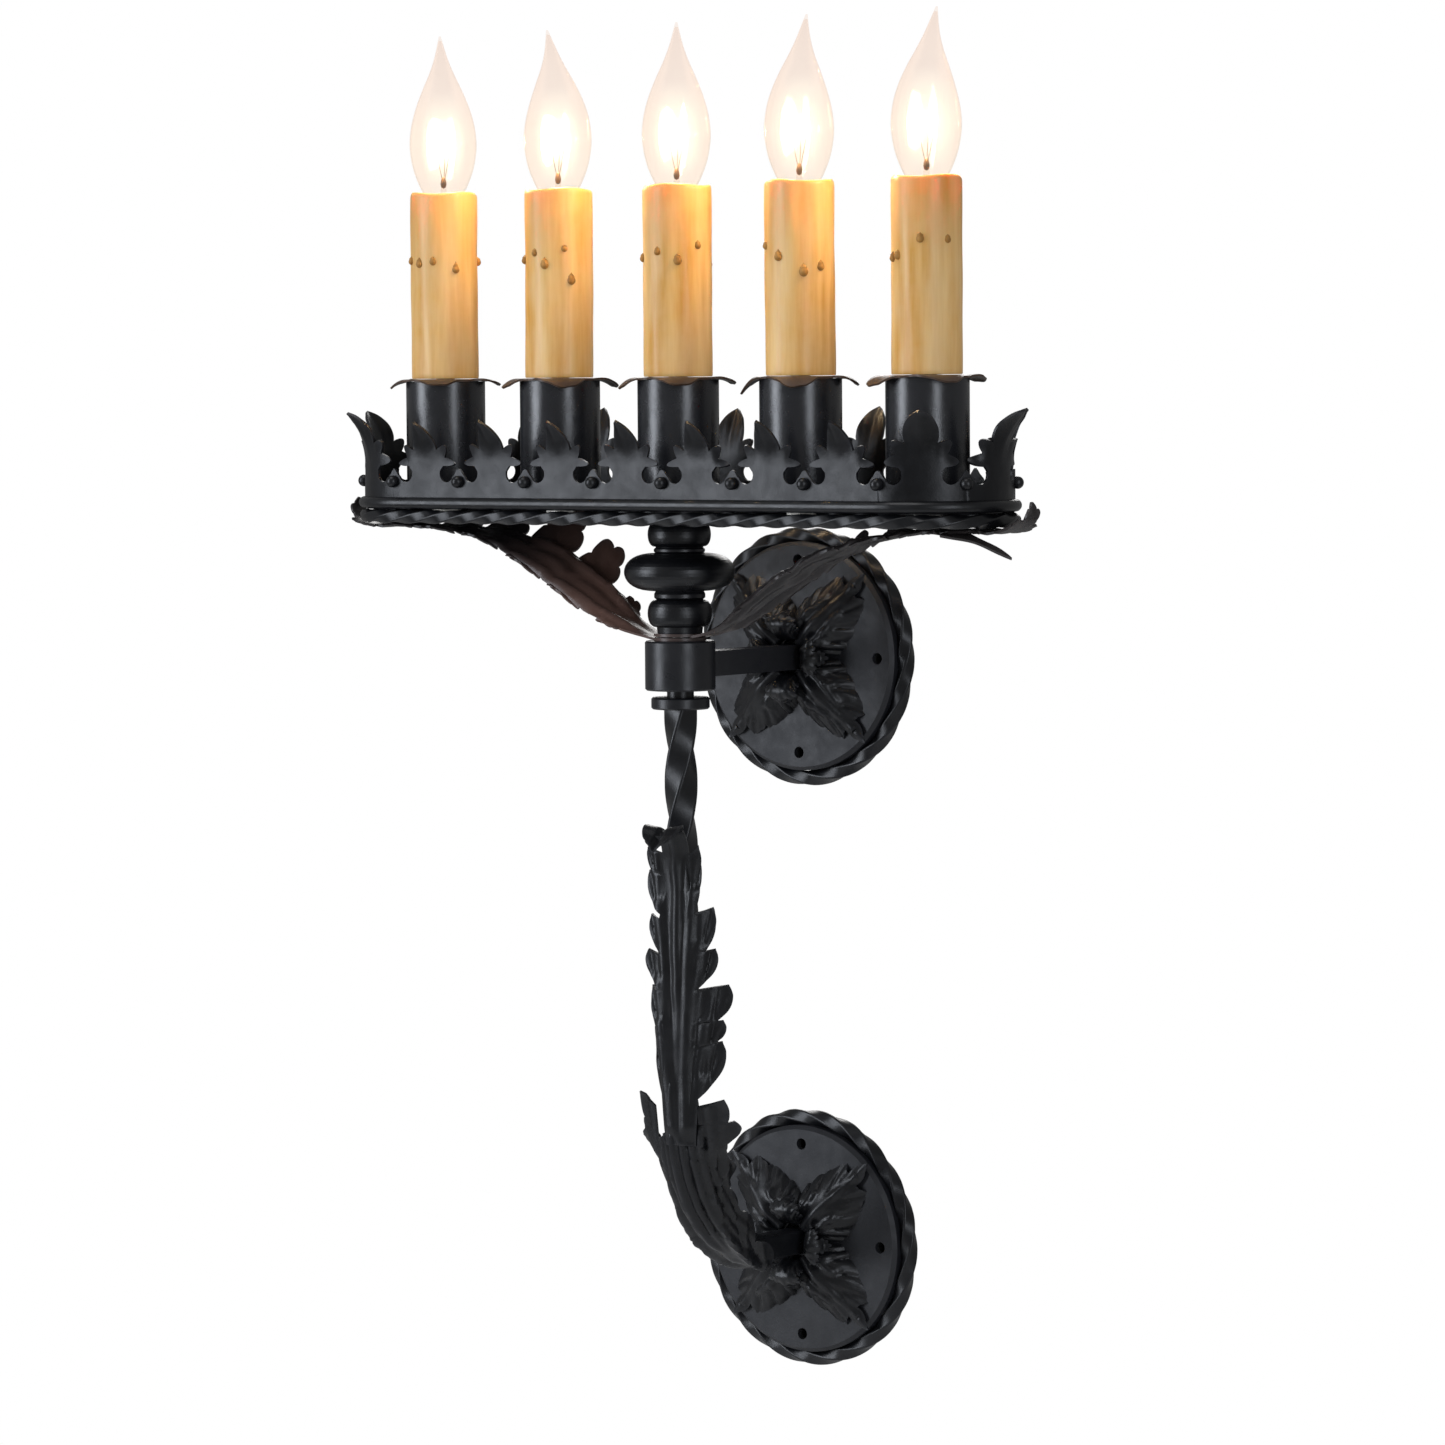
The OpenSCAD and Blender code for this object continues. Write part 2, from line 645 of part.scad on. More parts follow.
module bulb_glass(x) {
    outer = flame_outline(0);
    inner = [for (p = flame_outline(bulb_glass_t)) if (p[1] < 80) p];
    color([1, 0.93, 0.8, 0.5]) translate([x, post_y, bulb_base_top + 0.05]) rotate_extrude() polygon(concat(
        outer, [[0, 89.5], [0, 81]], [for (i = [len(inner) - 1 : -1 : 0]) inner[i]]
    ));
}

// ---- Hardware ----------------------------------------------------------

module socket_stems() {
    low = tray_floor_z - nut_h - 0.5;
    color("#8d8a80") for (x = candles) translate([x, post_y, 0])
        translate([0, 0, x == 0 ? tray_floor_z + 10 : low])
            pipe(socket_top - socket_h + 8 - (x == 0 ? tray_floor_z + 10 : low));
}

module hex_nut(h) {
    difference() {
        cylinder(r = nut_r, h = h, $fn = 6);
        translate([0, 0, -1]) cylinder(r = pipe_r + 0.1, h = h + 2);
    }
}

// Nuts on every threaded pipe: behind the upper plate, under the tray, on the bobeches, and a long one
// that joins the column pipe to the middle stem
module lock_nuts() {
    cup_floor = tray_floor_z + band_t + 0.1 + 1.5 + 0.1;
    color("#77756c") {
        translate([0, -plate_depth + plate_t + 0.1, 0]) rotate([-90, 0, 0]) hex_nut(nut_h);
        for (x = candles) translate([x, post_y, bobeche_z + bobeche_t + 0.1]) hex_nut(nut_h);
        for (x = candles) if (x != 0) translate([x, post_y, tray_floor_z - nut_h - 0.1]) hex_nut(nut_h);
        translate([0, post_y, cup_floor]) hex_nut(3.5 * nut_h);
    }
}

// Wires: through the arm, up the column, along the tray and up each stem
module wiring() {
    color("#1a1a1a") {
        translate([0, post_y + pipe_r + 1, 0]) rotate([-90, 0, 0])
            cylinder(r = wire_r, h = stand_off - pipe_r - 1 - 6, $fn = 24);
        translate([0, post_y, 0]) cylinder(r = wire_r, h = tray_floor_z + 8, $fn = 24);
        translate([-tray_half, post_y + wire_y, wire_z]) rotate([0, 90, 0])
            cylinder(r = wire_r + 0.3, h = 2 * tray_half, $fn = 24);
        for (x = candles) translate([x, post_y, tray_floor_z + 11])
            cylinder(r = wire_r, h = socket_top - bulb_seat_depth - 4 - tray_floor_z - 11, $fn = 24);
    }
}

upper_backplate();
upper_rope_rim();
upper_rosette();
lower_backplate();
lower_rope_rim();
lower_rosette();
arm_tube();
arm_nipple();
hub();
hub_set_screw();
column_nipple();
column_lower_bead();
column_saucer();
column_upper_bead();
left_leaf_arm();
right_leaf_arm();
post_flange();
twisted_post();
post_leaf();
bend_leaf();
tray_floor();
crown_band();
crown_beads();
tray_moulding();
tray_rope();
socket_stems();
lock_nuts();
wiring();
cup(candles[0]);  // cup_1
cup(candles[1]);  // cup_2
cup(candles[2]);  // cup_3
cup(candles[3]);  // cup_4
cup(candles[4]);  // cup_5
bobeche(candles[0]);  // bobeche_1
bobeche(candles[1]);  // bobeche_2
bobeche(candles[2]);  // bobeche_3
bobeche(candles[3]);  // bobeche_4
bobeche(candles[4]);  // bobeche_5
socket(candles[0]);  // socket_1
socket(candles[1]);  // socket_2
socket(candles[2]);  // socket_3
socket(candles[3]);  // socket_4
socket(candles[4]);  // socket_5
candle_cover(candles[0]);  // candle_cover_1
candle_cover(candles[1]);  // candle_cover_2
candle_cover(candles[2]);  // candle_cover_3
candle_cover(candles[3]);  // candle_cover_4
candle_cover(candles[4]);  // candle_cover_5
bulb_base(candles[0]);  // bulb_base_1
bulb_base(candles[1]);  // bulb_base_2
bulb_base(candles[2]);  // bulb_base_3
bulb_base(candles[3]);  // bulb_base_4
bulb_base(candles[4]);  // bulb_base_5
bulb_glass(candles[0]);  // bulb_glass_1
bulb_glass(candles[1]);  // bulb_glass_2
bulb_glass(candles[2]);  // bulb_glass_3
bulb_glass(candles[3]);  // bulb_glass_4
bulb_glass(candles[4]);  // bulb_glass_5
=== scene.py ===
"""Looks of a five-light wrought iron wall sconce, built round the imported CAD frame.

Shapes are worked out in millimetres in the row's frame (wall at y = 0, +Z up, tray along X) and turned
into metres when a mesh is made.
"""

import json
import math

import bpy
import numpy as np
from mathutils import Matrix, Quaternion, Vector
from mathutils.geometry import delaunay_2d_cdt

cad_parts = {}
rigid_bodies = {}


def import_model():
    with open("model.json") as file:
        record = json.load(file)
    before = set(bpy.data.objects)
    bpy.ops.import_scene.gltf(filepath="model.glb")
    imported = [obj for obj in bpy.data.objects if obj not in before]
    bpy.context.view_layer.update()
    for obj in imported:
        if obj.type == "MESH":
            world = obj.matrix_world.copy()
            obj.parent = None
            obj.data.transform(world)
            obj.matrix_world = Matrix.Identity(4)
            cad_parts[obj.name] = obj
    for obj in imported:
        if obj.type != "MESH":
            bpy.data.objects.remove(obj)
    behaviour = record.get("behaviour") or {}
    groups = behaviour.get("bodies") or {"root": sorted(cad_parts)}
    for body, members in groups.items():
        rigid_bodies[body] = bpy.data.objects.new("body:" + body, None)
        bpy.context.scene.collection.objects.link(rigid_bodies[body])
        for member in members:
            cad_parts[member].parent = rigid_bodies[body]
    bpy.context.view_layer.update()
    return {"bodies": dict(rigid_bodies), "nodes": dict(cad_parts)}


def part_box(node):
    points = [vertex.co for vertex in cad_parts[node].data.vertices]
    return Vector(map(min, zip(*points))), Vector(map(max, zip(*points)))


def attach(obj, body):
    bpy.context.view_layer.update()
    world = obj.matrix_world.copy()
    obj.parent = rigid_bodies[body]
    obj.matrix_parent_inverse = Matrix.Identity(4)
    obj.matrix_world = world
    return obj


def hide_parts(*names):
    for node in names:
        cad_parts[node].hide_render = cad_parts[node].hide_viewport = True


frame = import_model()
scene = bpy.context.scene

MM = 0.001
rng = np.random.default_rng(11)


def box(node):
    """Lowest and highest corner of a CAD node, in millimetres."""
    lo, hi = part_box(node)
    return np.array(lo) / MM, np.array(hi) / MM


def middle(node):
    lo, hi = box(node)
    return (lo + hi) / 2


# ---- Measures taken from the frame ----

CANDLES = [middle(f"candle_cover_{i}") for i in range(1, 6)]
POST_Y = CANDLES[2][1]
TRAY_HALF = CANDLES[4][0]
ROPE_LO, ROPE_HI = box("tray_rope")
BAND_LO, BAND_HI = box("crown_band")
MOULD_LO, MOULD_HI = box("tray_moulding")
BAND_R = (MOULD_HI[1] - MOULD_LO[1]) / 2 - 3.05
BEAD_Z = middle("crown_beads")[2]
POST_HI = box("twisted_post")[1]
LOWER_Z = middle("lower_backplate")[2]
PLATE_DEPTH = -box("upper_backplate")[0][1]

# The post's square bar and the radius that its middle line bends to at the lower plate
POST_W = 12.7
BEND_R = 76.0
# Radius of the circle that a plate's four screws lie on
SCREW_CIRCLE_R = 50

# ---- Materials ----


def placed(name, data):
    """A new object in the scene that shows the data."""
    item = bpy.data.objects.new(name, data)
    scene.collection.objects.link(item)
    return item


class Shader:
    """A material with a Principled shader and short ways to add procedural nodes to it."""

    def __init__(self, name):
        self.mat = bpy.data.materials.new(name)
        self.mat.use_nodes = True
        self.tree = self.mat.node_tree
        self.bsdf = self.tree.nodes["Principled BSDF"]
        self.coords = self.add("ShaderNodeTexCoord").outputs["Object"]

    def add(self, kind, inputs=(), **values):
        """A new node; each input gets a number, a colour or a link from a socket."""
        node = self.tree.nodes.new(kind)
        for key, value in values.items():
            setattr(node, key, value)
        self.feed(node, inputs)
        return node

    def feed(self, node, inputs):
        for key, value in dict(inputs).items():
            if isinstance(value, bpy.types.NodeSocket):
                self.link(value, node.inputs[key])
            else:
                node.inputs[key].default_value = value

    def surface(self, inputs):
        """Sets or links inputs of the Principled shader."""
        self.feed(self.bsdf, inputs)

    def link(self, source, target):
        self.tree.links.new(source, target)

    def stretched(self, scale):
        return self.add("ShaderNodeMapping", {"Scale": scale, "Vector": self.coords}).outputs["Vector"]

    def noise(self, scale, detail=4.0, rough=0.55, vector=None):
        inputs = {"Scale": scale, "Detail": detail, "Roughness": rough, "Vector": vector or self.coords}
        return self.add("ShaderNodeTexNoise", inputs).outputs["Fac"]

    def cells(self, scale, smooth=0.6):
        inputs = {"Scale": scale, "Smoothness": smooth, "Vector": self.coords}
        return self.add("ShaderNodeTexVoronoi", inputs, feature="SMOOTH_F1").outputs["Distance"]

    def ramp(self, value, low, high, to_low, to_high):
        inputs = {"From Min": low, "From Max": high, "To Min": to_low, "To Max": to_high, "Value": value}
        return self.add("ShaderNodeMapRange", inputs).outputs["Result"]

    def blend(self, factor, dark, light):
        node = self.add("ShaderNodeMix", data_type="RGBA")
        for socket, value in ((node.inputs[6], dark), (node.inputs[7], light)):
            if isinstance(value, tuple):
                socket.default_value = (*value, 1)
            else:
                self.link(value, socket)
        self.link(factor, node.inputs[0])
        return node.outputs[2]

    def bump(self, height, strength, distance, below=None):
        node = self.add("ShaderNodeBump", {"Strength": strength, "Distance": distance, "Height": height})
        if below:
            self.link(below, node.inputs["Normal"])
        return node.outputs["Normal"]

    def combine(self, operation, a, b):
        """Two values added, subtracted or multiplied, and held between 0 and 1."""
        node = self.add("ShaderNodeMath", operation=operation, use_clamp=True)
        self.link(a, node.inputs[0])
        self.link(b, node.inputs[1])
        return node.outputs[0]

    def across(self, axis, low, high):
        """0 below low and 1 above high along an axis of the row's frame, in millimetres."""
        split = self.add("ShaderNodeSeparateXYZ", {"Vector": self.coords})
        return self.ramp(split.outputs[axis], low * MM, high * MM, 0, 1)

    def height_between(self, low, high):
        return self.across("Z", low, high)


def coated_metal(
    name, dark, light, rough, specular, grain, hammer=0.0, metallic=0.0, worn=None, painted_glow=None
):
    """Metal with an uneven coat: its colour and gloss drift, it is finely pitted and hammered, and its
    raised edges are rubbed to the colour worn. Left of the column it turns to a painted warm glow of candle
    light."""
    s = Shader(name)
    broad = s.ramp(s.noise(28, 5, 0.6), 0.3, 0.7, 0, 1)
    fine = s.noise(grain, 6, 0.65)
    colour = s.blend(broad, dark, light)
    # Painted light: a warm candle glow laid over the coat's colour left of the column
    if painted_glow:
        share = s.combine("SUBTRACT", s.across("X", -110, -50), s.across("X", -10, 30))
        colour = s.blend(share, colour, painted_glow)
    if worn:
        edges = s.add("ShaderNodeNewGeometry").outputs["Pointiness"]
        colour = s.blend(s.ramp(edges, 0.52, 0.62, 0, 0.55), colour, worn)
    gloss = s.ramp(s.noise(120, 4), 0.3, 0.7, *rough)
    normal = s.bump(fine, 0.35, 0.0002)
    if hammer:
        normal = s.bump(s.cells(150), hammer, 0.0006, normal)
        normal = s.bump(s.noise(45, 3), hammer, 0.0015, normal)
    s.surface({"Base Color": colour, "Roughness": gloss, "Normal": normal})
    s.surface({"Metallic": metallic, "Specular IOR Level": specular})
    return s.mat


BLACK, SATIN, RUBBED = (0.003, 0.0032, 0.004), (0.007, 0.0076, 0.0095), (0.03, 0.031, 0.036)
iron = coated_metal("black_iron_satin", BLACK, SATIN, (0.26, 0.4), 0.5, 1300, 0.1, worn=RUBBED)
iron_sheet = coated_metal("black_iron_hammered", BLACK, SATIN, (0.28, 0.42), 0.45, 1100, 0.2, worn=RUBBED)
iron_plate = coated_metal(
    "black_iron_plate", (0.009, 0.0097, 0.012), (0.016, 0.017, 0.021), (0.42, 0.56), 0.45, 900, 0.08
)
GLOSSY = (0.006, 0.0068, 0.009)
iron_cup = coated_metal("black_iron_cup", BLACK, GLOSSY, (0.19, 0.3), 0.75, 1300, 0.06, worn=RUBBED)
iron_crown = coated_metal("black_iron_crown", BLACK, SATIN, (0.28, 0.42), 0.37, 1100, 0.2, worn=RUBBED)
# Painted light: the arm leaves' coat and rubbed edges are tinted warm brown for candle light, with a
# stronger painted glow left of the column
GLOW_WARMED_DARK, GLOW_WARMED_LIGHT, GLOW_WARMED_EDGE = (0.013, 0.011, 0.011), (0.032, 0.026, 0.026), (0.07, 0.06, 0.058)
PAINTED_CANDLE_GLOW = (0.16, 0.09, 0.07)
iron_painted_glow = coated_metal(
    "black_iron_painted_glow", GLOW_WARMED_DARK, GLOW_WARMED_LIGHT, (0.3, 0.45), 0.45, 1100, 0.2, worn=GLOW_WARMED_EDGE, painted_glow=PAINTED_CANDLE_GLOW
)
iron_rope = coated_metal("black_iron_rope", BLACK, SATIN, (0.26, 0.4), 0.45, 1500, 0.1, worn=RUBBED)
# Painted light: the drip plates' brown stands in for warm candle light on the black iron
iron_sheet_painted_glow = coated_metal(
    "painted_glow_iron_sheet", (0.055, 0.031, 0.02), (0.125, 0.076, 0.05), (0.3, 0.48), 0.5, 1100, 0.2
)
zinc = coated_metal(
    "zinc_plated_steel", (0.35, 0.34, 0.31), (0.52, 0.5, 0.45), (0.28, 0.45), 0.5, 1800, 0.0, 0.9
)
brass = coated_metal(
    "lamp_brass", (0.55, 0.38, 0.14), (0.75, 0.54, 0.24), (0.22, 0.38), 0.5, 1700, 0.0, 1.0
)
phenolic = coated_metal(
    "black_phenolic", (0.01, 0.009, 0.008), (0.02, 0.018, 0.016), (0.3, 0.45), 0.5, 1300
)
insulation = coated_metal(
    "wire_insulation", (0.012, 0.012, 0.012), (0.022, 0.022, 0.022), (0.45, 0.6), 0.4, 1000
)


def wax_material():
    """Amber beeswax: streaked lengthwise and warmer near the top, with a painted glow: the whole sleeve
    gives off its own colour, a little less near the top.
    """
    s = Shader("beeswax")
    streaks = s.ramp(s.noise(1, 4, 0.6, s.stretched((95, 95, 7))), 0.32, 0.68, 0, 1)
    clouds = s.ramp(s.noise(38, 5, 0.6), 0.35, 0.7, 0, 1)
    rim = box("candle_cover_3")[1][2]
    top = s.height_between(rim - 42, rim)
    base = s.blend(streaks, (0.58, 0.275, 0.035), (0.85, 0.56, 0.23))
    base = s.blend(s.ramp(clouds, 0, 1, 0, 0.4), base, (0.78, 0.55, 0.29))
    base = s.blend(s.ramp(top, 0, 1, 0, 0.5), base, (0.72, 0.38, 0.11))
    gloss = s.ramp(clouds, 0, 1, 0.3, 0.5)
    grain = s.bump(s.noise(1, 4, 0.55, s.stretched((240, 240, 30))), 0.3, 0.0006)
    s.surface({"Base Color": base, "Roughness": gloss, "Normal": grain, "Specular IOR Level": 0.4})
    s.surface({"Subsurface Weight": 0.25, "Subsurface Radius": (1.0, 0.5, 0.2), "Subsurface Scale": 0.004})
    # Painted glow: the sleeve, which is no lamp, emits its own colour all over, a little less near the top
    s.surface({"Emission Color": base, "Emission Strength": s.ramp(top, 0, 1, 0.17, 0.1)})
    return s.mat


def drip_material():
    s = Shader("beeswax_drip")
    tone = s.ramp(s.noise(300, 3), 0.3, 0.7, 0, 1)
    colour = s.blend(tone, (0.36, 0.165, 0.035), (0.56, 0.29, 0.075))
    gloss = s.ramp(tone, 0, 1, 0.4, 0.55)
    s.surface({"Base Color": colour, "Roughness": gloss, "Specular IOR Level": 0.3})
    return s.mat


def glass_material():
    """Clear lamp glass, faintly pink and darker at its edges, with a bright core round the filament."""
    s = Shader("lamp_glass_lit")
    out = s.tree.nodes["Material Output"]
    lo, hi = box("bulb_glass_3")
    low = s.height_between(lo[2] + 6, lo[2] + 27)
    high = s.height_between(lo[2] + 36, lo[2] + 60)
    level = s.combine("SUBTRACT", low, high)
    round_off = s.add("ShaderNodeLayerWeight", {"Blend": 0.5})
    core = s.combine("MULTIPLY", level, s.ramp(round_off.outputs["Facing"], 0.04, 0.42, 1, 0))
    cloud = s.ramp(s.noise(70, 3), 0.3, 0.7, 0, 1)
    tint = s.blend(cloud, (0.972, 0.938, 0.912), (0.984, 0.952, 0.924))
    tint = s.blend(s.height_between(lo[2] + 52, hi[2] - 4), tint, (0.968, 0.928, 0.902))
    edge = s.add("ShaderNodeLayerWeight", {"Blend": 0.22})
    tint = s.blend(s.ramp(edge.outputs["Facing"], 0.3, 0.95, 0, 0.9), tint, (0.84, 0.79, 0.77))
    tint = s.blend(core, tint, (1.0, 0.995, 0.965))
    clear = s.add("ShaderNodeBsdfTransparent", {"Color": tint})
    warm = s.blend(high, (1.0, 0.9, 0.68), (1.0, 0.85, 0.74))
    s.surface({"Emission Color": warm, "Emission Strength": 1.3})
    s.surface({"Base Color": (0.05, 0.04, 0.035, 1), "Roughness": s.ramp(cloud, 0, 1, 0.03, 0.1)})
    fresnel = s.add("ShaderNodeFresnel", {"IOR": 1.45})
    gloss = s.ramp(fresnel.outputs[0], 0.03, 0.7, 0.0, 0.05)
    mix = s.add("ShaderNodeMixShader")
    s.link(s.combine("ADD", gloss, s.ramp(core, 0, 1, 0.004, 0.1)), mix.inputs["Fac"])
    s.link(clear.outputs[0], mix.inputs[1])
    s.link(s.bsdf.outputs[0], mix.inputs[2])
    s.link(mix.outputs[0], out.inputs["Surface"])
    return s.mat


def glow_material():
    s = Shader("lit_filament")
    warm = s.blend(s.noise(900, 2), (1.0, 0.72, 0.36), (1.0, 0.84, 0.52))
    s.surface({"Base Color": (1, 0.8, 0.5, 1), "Emission Color": warm, "Emission Strength": 12})
    return s.mat


wax = wax_material()
drip_wax = drip_material()
glass = glass_material()
glow = glow_material()
support = coated_metal(
    "filament_support", (0.06, 0.028, 0.012), (0.12, 0.06, 0.028), (0.3, 0.5), 0.3, 1500
)

# ---- Meshes ----


def add_piece(name, points, faces, material, body="frame", sharp=60, replaces=()):
    """A smooth mesh with creases sharper than an angle in degrees, riding on a body of the row."""
    mesh = bpy.data.meshes.new(name)
    mesh.from_pydata((np.asarray(points) * MM).tolist(), [], [list(map(int, f)) for f in faces])
    mesh.validate()
    mesh.shade_smooth()
    mesh.set_sharp_from_angle(angle=math.radians(sharp))
    mesh.materials.append(material)
    piece = placed(name, mesh)
    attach(piece, body)
    if replaces:
        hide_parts(*replaces)
    return piece


def joined(parts):
    """One list of points and one of faces from several."""
    points, faces, start = [], [], 0
    for p, f in parts:
        points.append(np.asarray(p, float))
        faces.extend([[i + start for i in face] for face in f])
        start += len(p)
    return np.vstack(points), faces


def smooth_step(x, low, high):
    t = np.clip((np.asarray(x, float) - low) / (high - low), 0, 1)
    return t * t * (3 - 2 * t)


def curve_through(points, count):
    """Points on a smooth curve through the given ones (Catmull-Rom)."""
    p = np.asarray(points, float)
    p = np.vstack([2 * p[0] - p[1], p, 2 * p[-1] - p[-2]])
    t = np.linspace(0, len(points) - 1 - 1e-9, count)
    i = t.astype(int)
    u = (t - i)[:, None]
    a, b, c, d = p[i], p[i + 1], p[i + 2], p[i + 3]
    return 0.5 * (2 * b + (c - a) * u + (2 * a - 5 * b + 4 * c - d) * u**2 + (3 * b - a - 3 * c + d) * u**3)


class Spine:
    """A curve with a fixed side direction; at(s) gives points and upward normals at lengths s along it."""

    def __init__(self, points, side):
        self.line = curve_through(points, 400)
        steps = np.linalg.norm(np.diff(self.line, axis=0), axis=1)
        self.length = np.concatenate([[0], np.cumsum(steps)])
        self.side = np.asarray(side, float)
        tangent = np.gradient(self.line, axis=0)
        tangent /= np.linalg.norm(tangent, axis=1)[:, None]
        normal = np.cross(tangent, self.side)
        self.normal = normal / np.linalg.norm(normal, axis=1)[:, None]
        self.tangent = tangent

    def at(self, s):
        inner = np.clip(s, 0, self.length[-1])
        spot = np.stack([np.interp(inner, self.length, self.line[:, k]) for k in range(3)], 1)
        up = np.stack([np.interp(inner, self.length, self.normal[:, k]) for k in range(3)], 1)
        along = np.stack([np.interp(inner, self.length, self.tangent[:, k]) for k in range(3)], 1)
        return spot + along * (s - inner)[:, None], up


def within(line, points):
    """Which points lie inside a closed outline."""
    x, y = points.T
    hit = np.zeros(len(points), bool)
    for a, b in zip(line, np.roll(line, -1, axis=0)):
        spans = (a[1] > y) != (b[1] > y)
        hit ^= spans & (x < (b[0] - a[0]) * (y - a[1]) / (b[1] - a[1] + 1e-12) + a[0])
    return hit


def away_from(line, points, gap):
    """Which points lie farther than gap from a closed outline."""
    far = np.ones(len(points), bool)
    for a, b in zip(line, np.roll(line, -1, axis=0)):
        d = b - a
        t = np.clip((points - a) @ d / (d @ d + 1e-12), 0, 1)
        far &= np.linalg.norm(points - a - t[:, None] * d, axis=1) > gap
    return far


def flat_union(outlines, step):
    """Flat points and triangles that cover the union of closed outlines, about step apart inside."""
    lines = []
    for line in outlines:
        line = np.asarray(line, float)
        x, y = line.T
        turn = np.sum(x * np.roll(y, -1) - np.roll(x, -1) * y)
        lines.append(line if turn > 0 else line[::-1])
    edge = np.vstack(lines)
    low, high = edge.min(0), edge.max(0)
    rows = np.arange(low[1], high[1] + step, step * 0.87)
    columns = np.arange(low[0], high[0] + step, step)
    grid = np.array([(x + (k % 2) * step / 2, y) for k, y in enumerate(rows) for x in columns])
    keep = np.zeros(len(grid), bool)
    for line in lines:
        keep |= within(line, grid)
    grid = grid[keep]
    keep = np.ones(len(grid), bool)
    for line in lines:
        keep &= away_from(line, grid, 0.45 * step)
    loops, start = [], 0
    for line in lines:
        loops.append(list(range(start, start + len(line))))
        start += len(line)
    every = np.vstack([edge, grid[keep]])
    found = delaunay_2d_cdt([Vector(p) for p in every], [], loops, 1, 1e-4)
    triangles = np.array([t for t, source in zip(found[2], found[5]) if source])
    used, again = np.unique(triangles, return_inverse=True)
    flat = np.array([v[:] for v in found[0]])[used]
    return flat, again.reshape(triangles.shape)


def thickened(mid, triangles, thick):
    """A closed sheet of even thickness round a middle surface."""
    a, b, c = (mid[triangles[:, k]] for k in range(3))
    across = np.cross(b - a, c - a)
    normal = np.zeros_like(mid)
    for k in range(3):
        np.add.at(normal, triangles[:, k], across)
    normal /= np.linalg.norm(normal, axis=1)[:, None] + 1e-12
    n = len(mid)
    sides = [(t[k], t[(k + 1) % 3]) for t in triangles.tolist() for k in range(3)]
    known = set(sides)
    rim = [(p, q) for p, q in sides if (q, p) not in known]
    faces = [list(t) for t in triangles.tolist()]
    faces += [[t[0] + n, t[2] + n, t[1] + n] for t in triangles.tolist()]
    faces += [[q, p, p + n, q + n] for p, q in rim]
    return np.vstack([mid + normal * thick / 2, mid - normal * thick / 2]), faces


# ---- Acanthus leaves ----


def fan_lobe(centre, size, angle, stretch=1.3, spread=44, dent=0.3, point=0.2):
    """Outline of a lobe whose leaflets fan out round its centre; the longest one points along angle."""
    phi = np.radians(np.arange(-180, 180, 5.0))
    r = 1 - dent * (1 - np.abs(np.cos(math.pi * np.degrees(phi) / spread)) ** 0.6)
    r += point * np.exp(-((np.degrees(phi) / 11) ** 2))
    x, y = stretch * size * r * np.cos(phi), size * r * np.sin(phi)
    c, s = math.cos(math.radians(angle)), math.sin(math.radians(angle))
    return np.stack([centre[0] + c * x - s * y, centre[1] + s * x + c * y], 1)


def ledge_lobe(low, top, inner, outer):
    """Outline of a lobe that swells outward from low to top and ends in a flat, pointed ledge."""
    tall, wide = top - low, outer - inner
    swell = [(low, inner - 3), (low + 0.28 * tall, inner + 0.42 * wide)]
    swell += [(low + 0.55 * tall, outer - 0.12 * wide), (low + 0.8 * tall, outer)]
    swell.append((top, outer - 0.1 * wide))
    ledge = [(top - 0.04 * tall, outer - 0.45 * wide), (top - 0.1 * tall, inner - 1)]
    ledge.append((top - 0.2 * tall, inner - 3))
    return np.vstack([curve_through(swell, 26), ledge])


